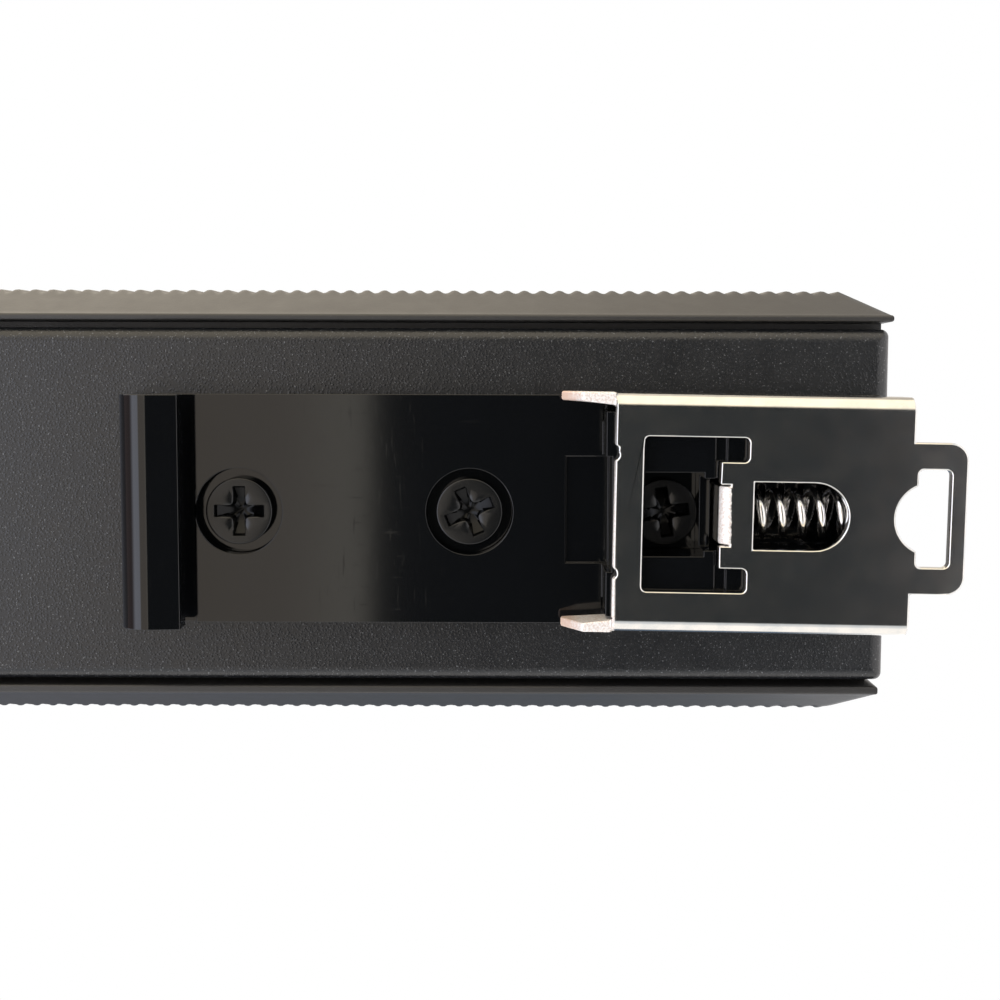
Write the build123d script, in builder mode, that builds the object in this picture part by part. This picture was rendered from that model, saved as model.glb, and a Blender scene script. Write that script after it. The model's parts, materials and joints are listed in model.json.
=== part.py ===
from build123d import *
from math import cos, pi, sin
import os

# Compact network switch for a 35 mm mounting rail, in millimetres.
# X runs across its width, Y from the port side towards the rail, and Z is up.
# The origin is the middle of the rail's seat, on the rear face of the bracket's base plate.

# Case of folded steel
case_width = 28.4
case_height = 110.0
case_depth = 84.0
below_rail = 40.7
sheet = 1.0
bend_radius = 1.1

# Ribbed side covers
cover_gap = 0.65
rim_thickness = 0.55
cover_rise = 2.3
cover_slope = 5.6
cover_end_slope = 3.2
rim_setback = 0.4
rim_overhang = 0.3
rim_relief = 0.9
rib_pitch = 1.44
rib_height = 0.25

# Mounting rail that the bracket takes
rail_width = 35.0
rail_flange = 1.3
rail_play = 0.15
rail_grip = 0.2

# Rail bracket
bracket_width = 18.0
base_thickness = 2.9
hook_wall = 2.0
hook_height = 4.0
hook_reach = 4.75
hook_round = 2.2
hook_edge = 0.3
seat_groove = 0.4
seat_groove_width = 3.3
block_height = 4.0
block_length = 21.95
block_recess_width = 8.8
block_recess = 0.45
seat_pad_width = 8.4
seat_pad_length = 2.9
seat_pad_depth = 0.25
guide_floor = -1.4
guide_height = 1.6
guide_depth = 0.9
counterbore_radius = 3.4
head_recess = 0.1
channel_width = 6.4
channel_start = 1.6
channel_length = 7.45
stop_wall = 0.85
stop_height = 0.8
pocket_width = 5.5
pocket_floor = -1.0
pocket_length = 20.5
cross_groove = 0.85
cross_groove_margin = 0.05
cross_groove_depth = 0.3
spigot_radius = 1.1
spigot_length = 1.6

# Screws
screw_radius = 1.45
screw_head_radius = 2.6
screw_head_height = 1.5
screw_projection = 2.0
cross_length = 3.85
cross_width = 0.9
cross_depth = 0.9
cross_taper = 12.0
fit_gap = 0.05
screw_offset = 0.2
hook_screw_inset = 6.75
seat_screw_inset = 10.45
block_screw_inset = 4.85
screw_turns = (0.0, 23.0, 8.0)

# Release clip of plated sheet
clip_sheet = 0.95
clip_proud = 0.1
clip_side_gap = 0.35
clip_lift = 0.2
clip_start = 0.55
clip_length = 22.5
clip_bend = 1.25
clip_inner_bend = 0.3
clip_skew = -0.86
prong_reach = 4.0
prong_clearance = 0.2
prong_height = 3.3
nose_length = 1.5
nose_drop = 2.6
flange_clearance = 0.3
flange_end_radius = 2.0
window_start = 2.2
window_length = 5.75
window_width = 11.7
slot_width = 1.8
slot_length = 2.35
window_radius = 0.35
tongue_width = 4.4
tongue_clearance = 0.15
tongue_foot = 0.35
tongue_relief = 0.45
spring_window_start = 10.55
spring_window_length = 7.1
spring_window_width = 5.07
edge_notch_spread = 9.1
edge_notch_radius = 0.65
edge_notch_offset = 0.25
guide_tab_length = 4.0
guide_tab_reach = 0.6
handle_width = 11.5
handle_length = 4.05
handle_radius = 1.35
handle_opening_width = 7.4
handle_opening_length = 2.45
handle_opening_radius = 0.4
handle_neck = 0.35
thumb_radius = 2.65
thumb_depth = 1.65

# Release spring
spring_radius = 1.95
spring_wire = 0.5
spring_turns = 7
spring_steps = 14
spring_height = 1.75

# Front panel and ports
panel_thickness = 2.0
panel_edge = 0.6
panel_lip = 1.2
panel_lip_depth = 3.0
panel_gap = 0.1
latch_tab_width = 7.0
latch_tab_depth = 3.0
latch_tab_reach = 0.9
latch_tab_x = -8.5
port_count = 5
port_first = 12.6
port_top_space = 27.0
port_wall = 1.7
jack_height = 13.4
jack_depth = 21.0
jack_sheet = 0.35
jack_recess = 0.3
jack_gap = 0.1
mouth_jaw = 2.05
mouth_height = 6.9
mouth_offset = 0.55
mouth_depth = 14.0
latch_width = 6.3
latch_height = 1.7
latch_slot_width = 3.4
latch_slot_height = 1.3
contact_count = 8
contact_share = 0.69
contact_width = 0.45
contact_thickness = 0.3
contact_drop = 1.9
contact_setback = 3.0

# Circuit board and what stands on it
board_thickness = 1.6
board_height = 3.6
board_margin = 1.6
board_rear_margin = 3.0
standoff_radius = 2.5
standoff_inset = 5.0
support_neck = 1.5
support_lip = 0.6
led_width = 3.0
led_height = 1.5
led_depth = 2.6
lens_width = 3.0
lens_height = 1.4
light_bar_depth = 1.5
power_lens_inset = 11.3
chip_size = 16.0
chip_height = 1.4
magnetic_length = 15.0
magnetic_width = 9.0
magnetic_height = 5.8
magnetic_gap = 5.0
magnetic_spread = 6.4
chip_gap = 0.7
capacitor_radius = 4.0
capacitor_length = 11.0
capacitor_rear_inset = 15.0
capacitor_top_inset = 15.4
capacitor_pitch = 10.0
choke_size = 10.0
choke_height = 7.0
choke_front_gap = 8.6
choke_top_inset = 17.3
coil_size = 10.0
coil_height = 5.0
coil_rear_inset = 17.0
coil_top_inset = 39.3

# Power terminals on the top end
terminal_count = 3
terminal_pitch = 5.08
terminal_margin = 0.4
terminal_rise = 4.0
terminal_body = 15.0
terminal_height = 12.0
terminal_clearance = 8.1
terminal_hole = 3.0
terminal_hole_depth = 8.0
terminal_screw_radius = 1.5
terminal_screw_sink = 0.8
terminal_gap = 0.2
clamp_wall = 0.4

# Ground screw, and the hooked lugs that hold the side covers in slots of the case
ground_inset = 13.1
lug_inset = 17.0
lug_width = 3.0
lug_length = 6.0
lug_hook = 1.5
lug_thickness = 1.0
lug_gap = 0.1

# Places that follow from the sizes above
case_back = -base_thickness
case_front = case_back - case_depth
case_bottom = -below_rail
case_top = case_bottom + case_height
case_mid_y = (case_back + case_front) / 2
case_mid_z = (case_bottom + case_top) / 2
inner_half = case_width / 2 - sheet
hook_inner = rail_width / 2 + rail_play
hook_outer = hook_inner + hook_wall
block_front = -rail_width / 2 - rail_play
block_rear = block_front - block_length
channel_end = block_front - channel_length
pocket_end = block_front - pocket_length
hook_under = rail_flange + rail_grip
pocket_top = channel_end - stop_wall
web_under = block_height + clip_lift
web_top = web_under + clip_sheet
clip_front = block_front - clip_start
clip_rear = clip_front - clip_length
flange_outer = bracket_width / 2 + clip_proud
flange_inner = flange_outer - clip_sheet
block_width = 2 * (flange_inner - clip_side_gap)
cross_groove_width = window_width + 2 * cross_groove_margin
flange_foot = guide_floor + flange_clearance
tongue_front = pocket_top - tongue_clearance
panel_front = case_front - panel_thickness
board_far = inner_half - board_height
board_near = board_far - board_thickness
board_front = case_front + jack_gap
board_rear = case_back - sheet - board_rear_margin
board_bottom = case_bottom + sheet + board_margin
board_top = case_top - sheet - board_margin
jack_front = panel_front + jack_recess
jack_mid_x = board_near - jack_height / 2
lens_x = board_far + led_height / 2
port_pitch = (case_height - port_first - port_top_space) / (port_count - 1)
jack_width = port_pitch - port_wall
mouth_width = jack_width - 2 * mouth_jaw
contact_pitch = mouth_width * contact_share / contact_count
port_places = [case_bottom + port_first + index * port_pitch for index in range(port_count)]
lens_places = port_places + [case_top - power_lens_inset]
jack_tail = jack_front + jack_depth
chip_z = (port_places[0] + port_places[-1]) / 2
magnetic_y = jack_tail + magnetic_gap + magnetic_width / 2
magnetic_pitch = port_pitch + magnetic_spread
chip_y = magnetic_y + magnetic_width / 2 + chip_gap + chip_size / 2
capacitor_y = board_rear - capacitor_rear_inset
choke_y = jack_tail + choke_front_gap + choke_size / 2
coil_y = board_rear - coil_rear_inset
terminal_width = terminal_count * terminal_pitch + 2 * terminal_margin
terminal_front = jack_tail + standoff_inset + standoff_radius + terminal_clearance
terminal_y = terminal_front + terminal_width / 2
ground_y = case_back - ground_inset
lug_y = (case_back - lug_inset, case_front + lug_inset)
lug_z = (case_bottom + lug_inset, case_top - lug_inset)
bracket_screw_places = (
    hook_inner - hook_screw_inset,
    block_front + seat_screw_inset,
    block_front - block_screw_inset,
)
head_seat = -screw_head_height - head_recess
hole_radius = screw_radius + fit_gap

os.makedirs("parts", exist_ok=True)


def level(y):
    """Return the sketch plane across the part at depth y, where extrusions run to the front."""
    return Plane.XZ.offset(-y)


def side(x):
    """Return the sketch plane along the part at x, with Y to its right and Z up."""
    return Plane.YZ.offset(x)


def finish(piece, name):
    """Name a finished piece and write it to its own file."""
    piece.part.label = name
    export_step(piece.part, f"parts/{name}.step")


def add_screw(plane, reach, turn=0.0):
    """Add a cross-recess screw whose head stands on the plane and whose shank goes below it."""
    with BuildSketch(plane) as head:
        Circle(screw_head_radius)
    extrude(head.sketch, amount=screw_head_height)
    with BuildSketch(plane) as shank:
        Circle(screw_radius)
    extrude(shank.sketch, amount=-reach)
    with BuildSketch(plane.offset(screw_head_height).rotated((0, 0, turn))) as recess:
        Rectangle(cross_length, cross_width)
        Rectangle(cross_width, cross_length)
    extrude(recess.sketch, amount=-cross_depth, taper=cross_taper, mode=Mode.SUBTRACT)


# Folded case: rear wall and four side walls bent from one sheet, open to the front
with BuildPart() as chassis:
    with BuildSketch(level(case_back)):
        with Locations((0, case_mid_z)):
            Rectangle(case_width, case_height)
    extrude(amount=case_depth)
    fillet(chassis.faces().sort_by(Axis.Y)[-1].edges(), bend_radius)
    with BuildSketch(level(case_back - sheet)):
        with Locations((0, case_mid_z)):
            Rectangle(case_width - 2 * sheet, case_height - 2 * sheet)
    extrude(amount=case_depth, mode=Mode.SUBTRACT)
    with BuildSketch(level(case_back)):
        with Locations(*[(screw_offset, place) for place in bracket_screw_places]):
            Circle(hole_radius)
    extrude(amount=sheet, mode=Mode.SUBTRACT)
    with BuildSketch(Plane.XY.offset(case_top)):
        with Locations((board_near - terminal_height / 2, terminal_y)):
            Rectangle(
                terminal_height + 2 * terminal_gap,
                terminal_width + 2 * terminal_gap,
            )
        with Locations((0, ground_y)):
            Circle(hole_radius)
    extrude(amount=-sheet, mode=Mode.SUBTRACT)
    with BuildSketch(side(case_width / 2)):
        with Locations(*[(y, z) for y in lug_y for z in lug_z]):
            Rectangle(lug_width + 2 * lug_gap, lug_length + lug_hook + 2 * lug_gap)
    extrude(amount=-case_width, mode=Mode.SUBTRACT)
    with BuildSketch(Plane.XY.offset(case_top)):
        with Locations((latch_tab_x, case_front + panel_lip_depth / 2)):
            Rectangle(latch_tab_width + 2 * panel_gap, panel_lip_depth)
    extrude(amount=-case_height, mode=Mode.SUBTRACT)
finish(chassis, "chassis")


def cover_outline(inset, end_inset):
    """Draw the side cover's outline, drawn in at its long edges and at its ends."""
    length = case_height + 2 * rim_overhang
    depth = case_depth - rim_setback
    with Locations((case_mid_y - rim_setback / 2, case_mid_z)):
        Rectangle(depth - 2 * inset, length - 2 * end_inset)


# Side covers: bevelled plates with a wave of shallow ribs that run from front to rear
wall_x = case_width / 2
rim_start = wall_x + cover_gap
rim_end = rim_start + rim_thickness
crest_x = rim_end + cover_rise
rib_count = int(case_height / rib_pitch) + 2
rib_bottom = case_mid_z - rib_count * rib_pitch / 2
for flank, cover_name in ((1, "side_cover_left"), (-1, "side_cover_right")):
    with BuildPart() as cover:
        with BuildSketch(side(flank * wall_x)):
            cover_outline(rim_relief, rim_relief)
        with BuildSketch(side(flank * rim_start)):
            cover_outline(0, 0)
        loft()
        with BuildSketch(side(flank * rim_start)):
            cover_outline(0, 0)
        extrude(amount=flank * rim_thickness)
        with BuildSketch(side(flank * rim_end)):
            cover_outline(0, 0)
        with BuildSketch(side(flank * crest_x)):
            cover_outline(cover_slope, cover_end_slope)
        loft()
        with BuildSketch(level(case_back)):
            with BuildLine():
                wave = []
                for index in range(rib_count):
                    wave.append((flank * (crest_x - rib_height), rib_bottom + index * rib_pitch))
                    wave.append((flank * crest_x, rib_bottom + (index + 0.5) * rib_pitch))
                rib_top = rib_bottom + rib_count * rib_pitch
                wave.append((flank * (crest_x - rib_height), rib_top))
                wave.append((flank * (crest_x + cover_rise), rib_top))
                wave.append((flank * (crest_x + cover_rise), rib_bottom))
                Polyline(*wave, close=True)
            make_face()
        extrude(amount=case_depth, mode=Mode.SUBTRACT)
        # Lugs through the case wall, each with a hook behind it
        with BuildSketch(side(flank * wall_x)):
            with Locations(*[(y, z + lug_hook / 2) for y in lug_y for z in lug_z]):
                Rectangle(lug_width, lug_length)
        extrude(amount=-flank * (sheet + lug_gap))
        with BuildSketch(side(flank * (inner_half - lug_gap))):
            with Locations(*[(y, z + lug_hook) for y in lug_y for z in lug_z]):
                Rectangle(lug_width, lug_length + lug_hook)
        extrude(amount=-flank * lug_thickness)
    finish(cover, cover_name)

# Rail bracket: base plate, fixed hook above and the guide block of the clip below
with BuildPart() as rail_bracket:
    with BuildSketch(level(0)):
        with Locations((0, (hook_outer + block_front) / 2)):
            Rectangle(bracket_width, hook_outer - block_front)
    extrude(amount=base_thickness)
    with BuildSketch(side(0)):
        with BuildLine():
            Polyline(
                (0, hook_outer),
                (hook_height - hook_round, hook_outer),
            )
            RadiusArc(
                (hook_height - hook_round, hook_outer),
                (hook_height, hook_outer - hook_round),
                hook_round,
            )
            Polyline(
                (hook_height, hook_outer - hook_round),
                (hook_height, hook_outer - hook_reach + hook_edge),
                (hook_height - hook_edge, hook_outer - hook_reach),
                (hook_under, hook_outer - hook_reach),
                (hook_under, hook_inner),
                (0, hook_inner),
                (0, hook_outer),
            )
        make_face()
    extrude(amount=bracket_width / 2, both=True)
    with BuildSketch(level(0)):
        with Locations((0, hook_inner - seat_groove_width / 2)):
            Rectangle(bracket_width, seat_groove_width)
    extrude(amount=seat_groove, mode=Mode.SUBTRACT)
    with BuildSketch(level(guide_floor)):
        with Locations((0, (block_front + block_rear) / 2)):
            Rectangle(bracket_width, block_front - block_rear)
    extrude(amount=base_thickness + guide_floor)
    with BuildSketch(level(block_height)):
        with Locations((0, (block_front + block_rear) / 2)):
            Rectangle(block_width, block_front - block_rear)
    extrude(amount=block_height + base_thickness)
    with BuildSketch(level(block_height)):
        with Locations((0, block_front - block_recess / 2)):
            Rectangle(block_recess_width, block_recess)
    extrude(amount=block_height, mode=Mode.SUBTRACT)
    with BuildSketch(level(0)):
        with Locations((0, block_front - block_recess + seat_pad_length / 2 + block_recess / 2)):
            Rectangle(seat_pad_width, seat_pad_length + block_recess)
    extrude(amount=seat_pad_depth, mode=Mode.SUBTRACT)
    for flank in (1, -1):
        with BuildSketch(level(guide_floor + guide_height)):
            with Locations((flank * (block_width - guide_depth) / 2, (block_front + block_rear) / 2)):
                Rectangle(guide_depth, block_front - block_rear)
        extrude(amount=guide_height, mode=Mode.SUBTRACT)
    with BuildSketch(level(block_height)):
        with Locations((0, (block_front - channel_start + channel_end) / 2)):
            Rectangle(channel_width, block_front - channel_start - channel_end)
    extrude(amount=block_height - head_seat, mode=Mode.SUBTRACT)
    with BuildSketch(level(block_height)):
        with Locations((0, (pocket_top + pocket_end) / 2)):
            Rectangle(pocket_width, pocket_top - pocket_end)
    extrude(amount=block_height - pocket_floor, mode=Mode.SUBTRACT)
    with BuildSketch(level(block_height)):
        with Locations((0, channel_end - stop_wall / 2)):
            Rectangle(pocket_width, stop_wall)
    extrude(amount=block_height - stop_height, mode=Mode.SUBTRACT)
    with BuildSketch(level(block_height)):
        with Locations((0, pocket_top - cross_groove / 2)):
            Rectangle(cross_groove_width, cross_groove)
    extrude(amount=cross_groove_depth, mode=Mode.SUBTRACT)
    with BuildSketch(Plane.XY.offset(pocket_end)):
        with Locations((0, spring_height)):
            Circle(spigot_radius)
    extrude(amount=spigot_length)
    for place in bracket_screw_places[:2]:
        with BuildSketch(level(0)):
            with Locations((screw_offset, place)):
                Circle(counterbore_radius)
        extrude(amount=-head_seat, mode=Mode.SUBTRACT)
    with BuildSketch(level(head_seat)):
        with Locations(*[(screw_offset, place) for place in bracket_screw_places]):
            Circle(hole_radius)
    extrude(amount=base_thickness + head_seat, mode=Mode.SUBTRACT)
finish(rail_bracket, "rail_bracket")

with BuildPart() as bracket_screws:
    for place, turn in zip(bracket_screw_places, screw_turns):
        seat = Plane(origin=(screw_offset, head_seat, place), x_dir=(-1, 0, 0), z_dir=(0, 1, 0))
        add_screw(seat, base_thickness + head_seat + sheet + screw_projection, turn)
finish(bracket_screws, "bracket_screws")

# Release clip: a channel of plated sheet with prongs, windows, a bent tongue and a loop handle
with BuildPart() as release_clip:
    clip_mid = (clip_front + clip_rear) / 2
    with BuildSketch(Plane.XY.offset(clip_rear)):
        with BuildLine():
            Polyline(
                (-flange_outer, flange_foot),
                (-flange_outer, web_top - clip_bend),
            )
            RadiusArc(
                (-flange_outer, web_top - clip_bend),
                (-flange_outer + clip_bend, web_top),
                clip_bend,
            )
            Line((-flange_outer + clip_bend, web_top), (flange_outer - clip_bend, web_top))
            RadiusArc(
                (flange_outer - clip_bend, web_top),
                (flange_outer, web_top - clip_bend),
                clip_bend,
            )
            Polyline(
                (flange_outer, web_top - clip_bend),
                (flange_outer, flange_foot),
                (flange_inner, flange_foot),
                (flange_inner, web_under - clip_inner_bend),
            )
            RadiusArc(
                (flange_inner, web_under - clip_inner_bend),
                (flange_inner - clip_inner_bend, web_under),
                -clip_inner_bend,
            )
            Line((flange_inner - clip_inner_bend, web_under), (-flange_inner + clip_inner_bend, web_under))
            RadiusArc(
                (-flange_inner + clip_inner_bend, web_under),
                (-flange_inner, web_under - clip_inner_bend),
                -clip_inner_bend,
            )
            Polyline(
                (-flange_inner, web_under - clip_inner_bend),
                (-flange_inner, flange_foot),
                (-flange_outer, flange_foot),
            )
        make_face()
    extrude(amount=clip_length)
    # Rounded lower rear corners of the two flanges
    with BuildSketch(side(0)):
        with BuildLine():
            Polyline(
                (flange_foot + flange_end_radius, clip_rear),
                (flange_foot, clip_rear),
                (flange_foot, clip_rear + flange_end_radius),
            )
            RadiusArc(
                (flange_foot, clip_rear + flange_end_radius),
                (flange_foot + flange_end_radius, clip_rear),
                flange_end_radius,
            )
        make_face()
    extrude(amount=flange_outer, both=True, mode=Mode.SUBTRACT)
    # Prongs that reach behind the rail's lower flange
    prong_foot = rail_flange + prong_clearance
    for flank in (1, -1):
        with BuildSketch(side(flank * flange_inner)):
            Polygon(
                (prong_foot, clip_front),
                (prong_foot, clip_front + prong_reach),
                (prong_foot + prong_height - nose_drop, clip_front + prong_reach),
                (prong_foot + prong_height, clip_front + prong_reach - nose_length),
                (prong_foot + prong_height, clip_front),
                align=None,
            )
        extrude(amount=flank * clip_sheet)
    # Inturned tabs that run in the grooves of the guide block
    for flank in (1, -1):
        tab_x = flank * (flange_inner - guide_tab_reach / 2)
        with BuildSketch(level(flange_foot + clip_sheet)):
            with Locations(
                (tab_x, clip_front - guide_tab_length),
                (tab_x, clip_rear + flange_end_radius + guide_tab_length),
            ):
                Rectangle(guide_tab_reach, guide_tab_length)
        extrude(amount=clip_sheet)
    # Window with its two side slots, and the round-ended window over the spring
    with BuildSketch(level(web_top)):
        with Locations((0, clip_front - window_start - window_length / 2)):
            RectangleRounded(window_width, window_length, window_radius)
        slot_x = (window_width - slot_width) / 2
        slot_run = window_length + slot_length
        with Locations(*[(x, clip_front - window_start - slot_run / 2) for x in (-slot_x, slot_x)]):
            RectangleRounded(slot_width, slot_run, window_radius)
        straight = spring_window_length - spring_window_width / 2
        with Locations((0, clip_front - spring_window_start - straight / 2)):
            Rectangle(spring_window_width, straight)
        with Locations((0, clip_front - spring_window_start - straight)):
            Circle(spring_window_width / 2)
        notch_z = clip_front + edge_notch_offset
        with Locations(*[(x, notch_z) for x in (-edge_notch_spread / 2, edge_notch_spread / 2)]):
            Circle(edge_notch_radius)
        with Locations((0, clip_front - window_start - window_length)):
            Rectangle(tongue_width + 2 * tongue_relief, 2 * clip_bend)
    extrude(amount=clip_sheet, mode=Mode.SUBTRACT)
    # Tongue bent down from the web, which the spring pushes on
    with BuildSketch(side(0)):
        with BuildLine():
            Polyline(
                (web_top, tongue_front - clip_bend - clip_sheet),
                (web_top, tongue_front - clip_bend),
            )
            RadiusArc(
                (web_top, tongue_front - clip_bend),
                (web_top - clip_bend, tongue_front),
                -clip_bend,
            )
            Polyline(
                (web_top - clip_bend, tongue_front),
                (pocket_floor + tongue_foot, tongue_front),
                (pocket_floor + tongue_foot, tongue_front - clip_sheet),
                (web_under - clip_inner_bend, tongue_front - clip_sheet),
            )
            RadiusArc(
                (web_under - clip_inner_bend, tongue_front - clip_sheet),
                (web_under, tongue_front - clip_sheet - clip_inner_bend),
                clip_inner_bend,
            )
            Polyline(
                (web_under, tongue_front - clip_sheet - clip_inner_bend),
                (web_under, tongue_front - clip_bend - clip_sheet),
                (web_top, tongue_front - clip_bend - clip_sheet),
            )
        make_face()
    extrude(amount=tongue_width / 2, both=True)
    # Flat loop handle with a thumb notch that opens into the web
    with BuildSketch(level(web_top)):
        with Locations((0, clip_rear - handle_length / 2)):
            Rectangle(handle_width, handle_length)
    extrude(amount=clip_sheet)
    fillet(release_clip.edges().filter_by(Axis.Y).group_by(Axis.Z)[0], handle_radius)
    with BuildSketch(level(web_top)):
        with Locations((0, clip_rear - handle_neck - handle_opening_length / 2)):
            RectangleRounded(handle_opening_width, handle_opening_length, handle_opening_radius)
    extrude(amount=clip_sheet, mode=Mode.SUBTRACT)
    with BuildSketch(level(web_top)):
        with Locations((0, clip_rear - handle_neck + thumb_depth - thumb_radius)):
            Circle(thumb_radius)
        with Locations((0, clip_rear + thumb_radius - handle_neck - handle_opening_radius)):
            Rectangle(2 * thumb_radius, 2 * thumb_radius, mode=Mode.INTERSECT)
    extrude(amount=clip_sheet, mode=Mode.SUBTRACT)
release_clip.part = release_clip.part.rotate(Axis((0, 0, clip_mid), (0, 1, 0)), clip_skew)
finish(release_clip, "release_clip")

# Release spring between the tongue and the end wall of its pocket
spring_start = pocket_end + spring_wire / 2
spring_end = tongue_front - clip_sheet - spring_wire / 2 - tongue_clearance
coil_radius = spring_radius - spring_wire / 2
with BuildPart() as clip_spring:
    with BuildLine() as coil:
        turn_points = []
        for step in range(spring_turns * spring_steps + 1):
            angle = 2 * pi * step / spring_steps
            height = spring_start + (spring_end - spring_start) * step / (spring_turns * spring_steps)
            turn_points.append((coil_radius * cos(angle), spring_height + coil_radius * sin(angle), height))
        Polyline(*turn_points)
    with BuildSketch(Plane(origin=coil.line @ 0, z_dir=coil.line % 0)):
        RegularPolygon(spring_wire / 2, 6)
    sweep(transition=Transition.RIGHT)
finish(clip_spring, "clip_spring")

# Front panel: a moulded plate with a locating lip, snap latches and the port and lens openings
with BuildPart() as front_panel:
    with BuildSketch(level(case_front)):
        with Locations((0, case_mid_z)):
            Rectangle(case_width, case_height)
    extrude(amount=panel_thickness)
    chamfer(front_panel.faces().sort_by(Axis.Y)[0].edges(), panel_edge)
    lip_width = 2 * (inner_half - panel_gap)
    lip_height = case_height - 2 * (sheet + panel_gap)
    with BuildSketch(level(case_front + panel_lip_depth)):
        with Locations((0, case_mid_z)):
            Rectangle(lip_width, lip_height)
            Rectangle(lip_width - 2 * panel_lip, lip_height - 2 * panel_lip, mode=Mode.SUBTRACT)
    extrude(amount=panel_lip_depth)
    # Snap latches that spring into slots in the two end walls of the case
    with BuildSketch(level(case_front + panel_lip_depth)):
        for end in (1, -1):
            with Locations((latch_tab_x, case_mid_z + end * (lip_height + latch_tab_reach) / 2)):
                Rectangle(latch_tab_width, latch_tab_reach)
    extrude(amount=latch_tab_depth)
    with BuildSketch(level(case_front)):
        with Locations(*[(jack_mid_x, place) for place in port_places]):
            Rectangle(jack_height + 2 * jack_gap, jack_width + 2 * jack_gap)
        with Locations(*[(lens_x, place) for place in lens_places]):
            Rectangle(lens_height + jack_gap, lens_width + jack_gap)
    extrude(amount=panel_thickness, mode=Mode.SUBTRACT)
finish(front_panel, "front_panel")


def mouth(place, grow=0.0):
    """Draw a port's stepped mouth in the open sketch, with its latch slot away from the board."""
    mouth_x = jack_mid_x + mouth_offset
    latch_x = mouth_x - (mouth_height + latch_height) / 2
    slot_x = latch_x - (latch_height + latch_slot_height) / 2
    with Locations((mouth_x, place)):
        Rectangle(mouth_height + 2 * grow, mouth_width + 2 * grow)
    with Locations((latch_x, place)):
        Rectangle(latch_height + 2 * grow, latch_width + 2 * grow)
    with Locations((slot_x, place)):
        Rectangle(latch_slot_height + 2 * grow, latch_slot_width + 2 * grow)


# Ports: a folded metal shell, a moulded insert with the mouth, and eight sprung contacts each
for number, place in enumerate(port_places, start=1):
    inner_width = jack_width - 2 * jack_sheet
    inner_height = jack_height - 2 * jack_sheet
    with BuildPart() as jack_shell:
        with BuildSketch(level(jack_tail)):
            with Locations((jack_mid_x, place)):
                Rectangle(jack_height, jack_width)
        extrude(amount=jack_depth)
        with BuildSketch(level(jack_tail)):
            with Locations((jack_mid_x, place)):
                Rectangle(inner_height, inner_width)
        extrude(amount=jack_depth - jack_sheet, mode=Mode.SUBTRACT)
        with BuildSketch(level(jack_front + jack_sheet)):
            mouth(place)
        extrude(amount=jack_sheet, mode=Mode.SUBTRACT)
    finish(jack_shell, f"jack_shell_{number}")

    with BuildPart() as jack_insert:
        insert_front = jack_front + jack_sheet
        with BuildSketch(level(jack_tail)):
            with Locations((jack_mid_x, place)):
                Rectangle(inner_height - 2 * fit_gap, inner_width - 2 * fit_gap)
        extrude(amount=jack_depth - jack_sheet)
        with BuildSketch(level(insert_front + mouth_depth)):
            mouth(place)
        extrude(amount=mouth_depth, mode=Mode.SUBTRACT)
    finish(jack_insert, f"jack_insert_{number}")

    with BuildPart() as jack_contacts:
        roof = jack_mid_x + mouth_offset + mouth_height / 2
        tail = insert_front + mouth_depth
        for index in range(contact_count):
            contact_z = place + (index - (contact_count - 1) / 2) * contact_pitch
            with BuildSketch(Plane.XY.offset(contact_z - contact_width / 2)):
                Polygon(
                    (roof, insert_front + contact_setback),
                    (roof, insert_front + contact_setback + 2 * contact_thickness),
                    (roof - contact_drop + contact_thickness, tail),
                    (roof - contact_drop, tail),
                    align=None,
                )
            extrude(amount=contact_width)
    finish(jack_contacts, f"jack_contacts_{number}")

# Circuit board, parallel to the side walls, with holes for the necks of its supports
standoff_places = [
    (y, z)
    for y in (board_rear - standoff_inset, jack_tail + standoff_inset)
    for z in (board_bottom + standoff_inset, board_top - standoff_inset)
]
with BuildPart() as main_board:
    with BuildSketch(side(board_near)):
        with Locations(((board_front + board_rear) / 2, (board_bottom + board_top) / 2)):
            Rectangle(board_rear - board_front, board_top - board_bottom)
        with Locations(*standoff_places):
            RegularPolygon(support_neck + fit_gap, 6, mode=Mode.SUBTRACT)
    extrude(amount=board_thickness)
finish(main_board, "main_board")

# Board supports: hexagonal spacers whose necks snap through the board
with BuildPart() as board_supports:
    with BuildSketch(side(board_far)):
        with Locations(*standoff_places):
            RegularPolygon(standoff_radius, 6)
    extrude(amount=board_height)
    with BuildSketch(side(board_far)):
        with Locations(*standoff_places):
            RegularPolygon(support_neck, 6)
    extrude(amount=-board_thickness)
    with BuildSketch(side(board_near)):
        with Locations(*standoff_places):
            RegularPolygon(support_neck + support_lip, 6)
    extrude(amount=-support_lip)
finish(board_supports, "board_supports")

# Status lights on the board's far face and the clear bar that carries their light to the panel
with BuildPart() as status_lights:
    with BuildSketch(side(board_far)):
        with Locations(*[(case_front + light_bar_depth + jack_gap + led_depth / 2, z) for z in lens_places]):
            Rectangle(led_depth, led_width)
    extrude(amount=led_height)
finish(status_lights, "status_lights")

with BuildPart() as light_bar:
    bar_length = lens_places[-1] - lens_places[0] + 2 * lens_width
    with BuildSketch(level(case_front + light_bar_depth)):
        with Locations((lens_x, (lens_places[0] + lens_places[-1]) / 2)):
            Rectangle(lens_height, bar_length)
    extrude(amount=light_bar_depth)
    with BuildSketch(level(case_front)):
        with Locations(*[(lens_x, place) for place in lens_places]):
            Rectangle(lens_height, lens_width)
    extrude(amount=panel_thickness)
finish(light_bar, "light_bar")

# Switching chip, isolation transformers and the parts of the power input
with BuildPart() as switch_chip:
    with BuildSketch(side(board_near)):
        with Locations((chip_y, chip_z)):
            Rectangle(chip_size, chip_size)
    extrude(amount=-chip_height)
    chamfer(switch_chip.faces().sort_by(Axis.X)[0].edges(), chip_height / 4)
finish(switch_chip, "switch_chip")

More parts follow.
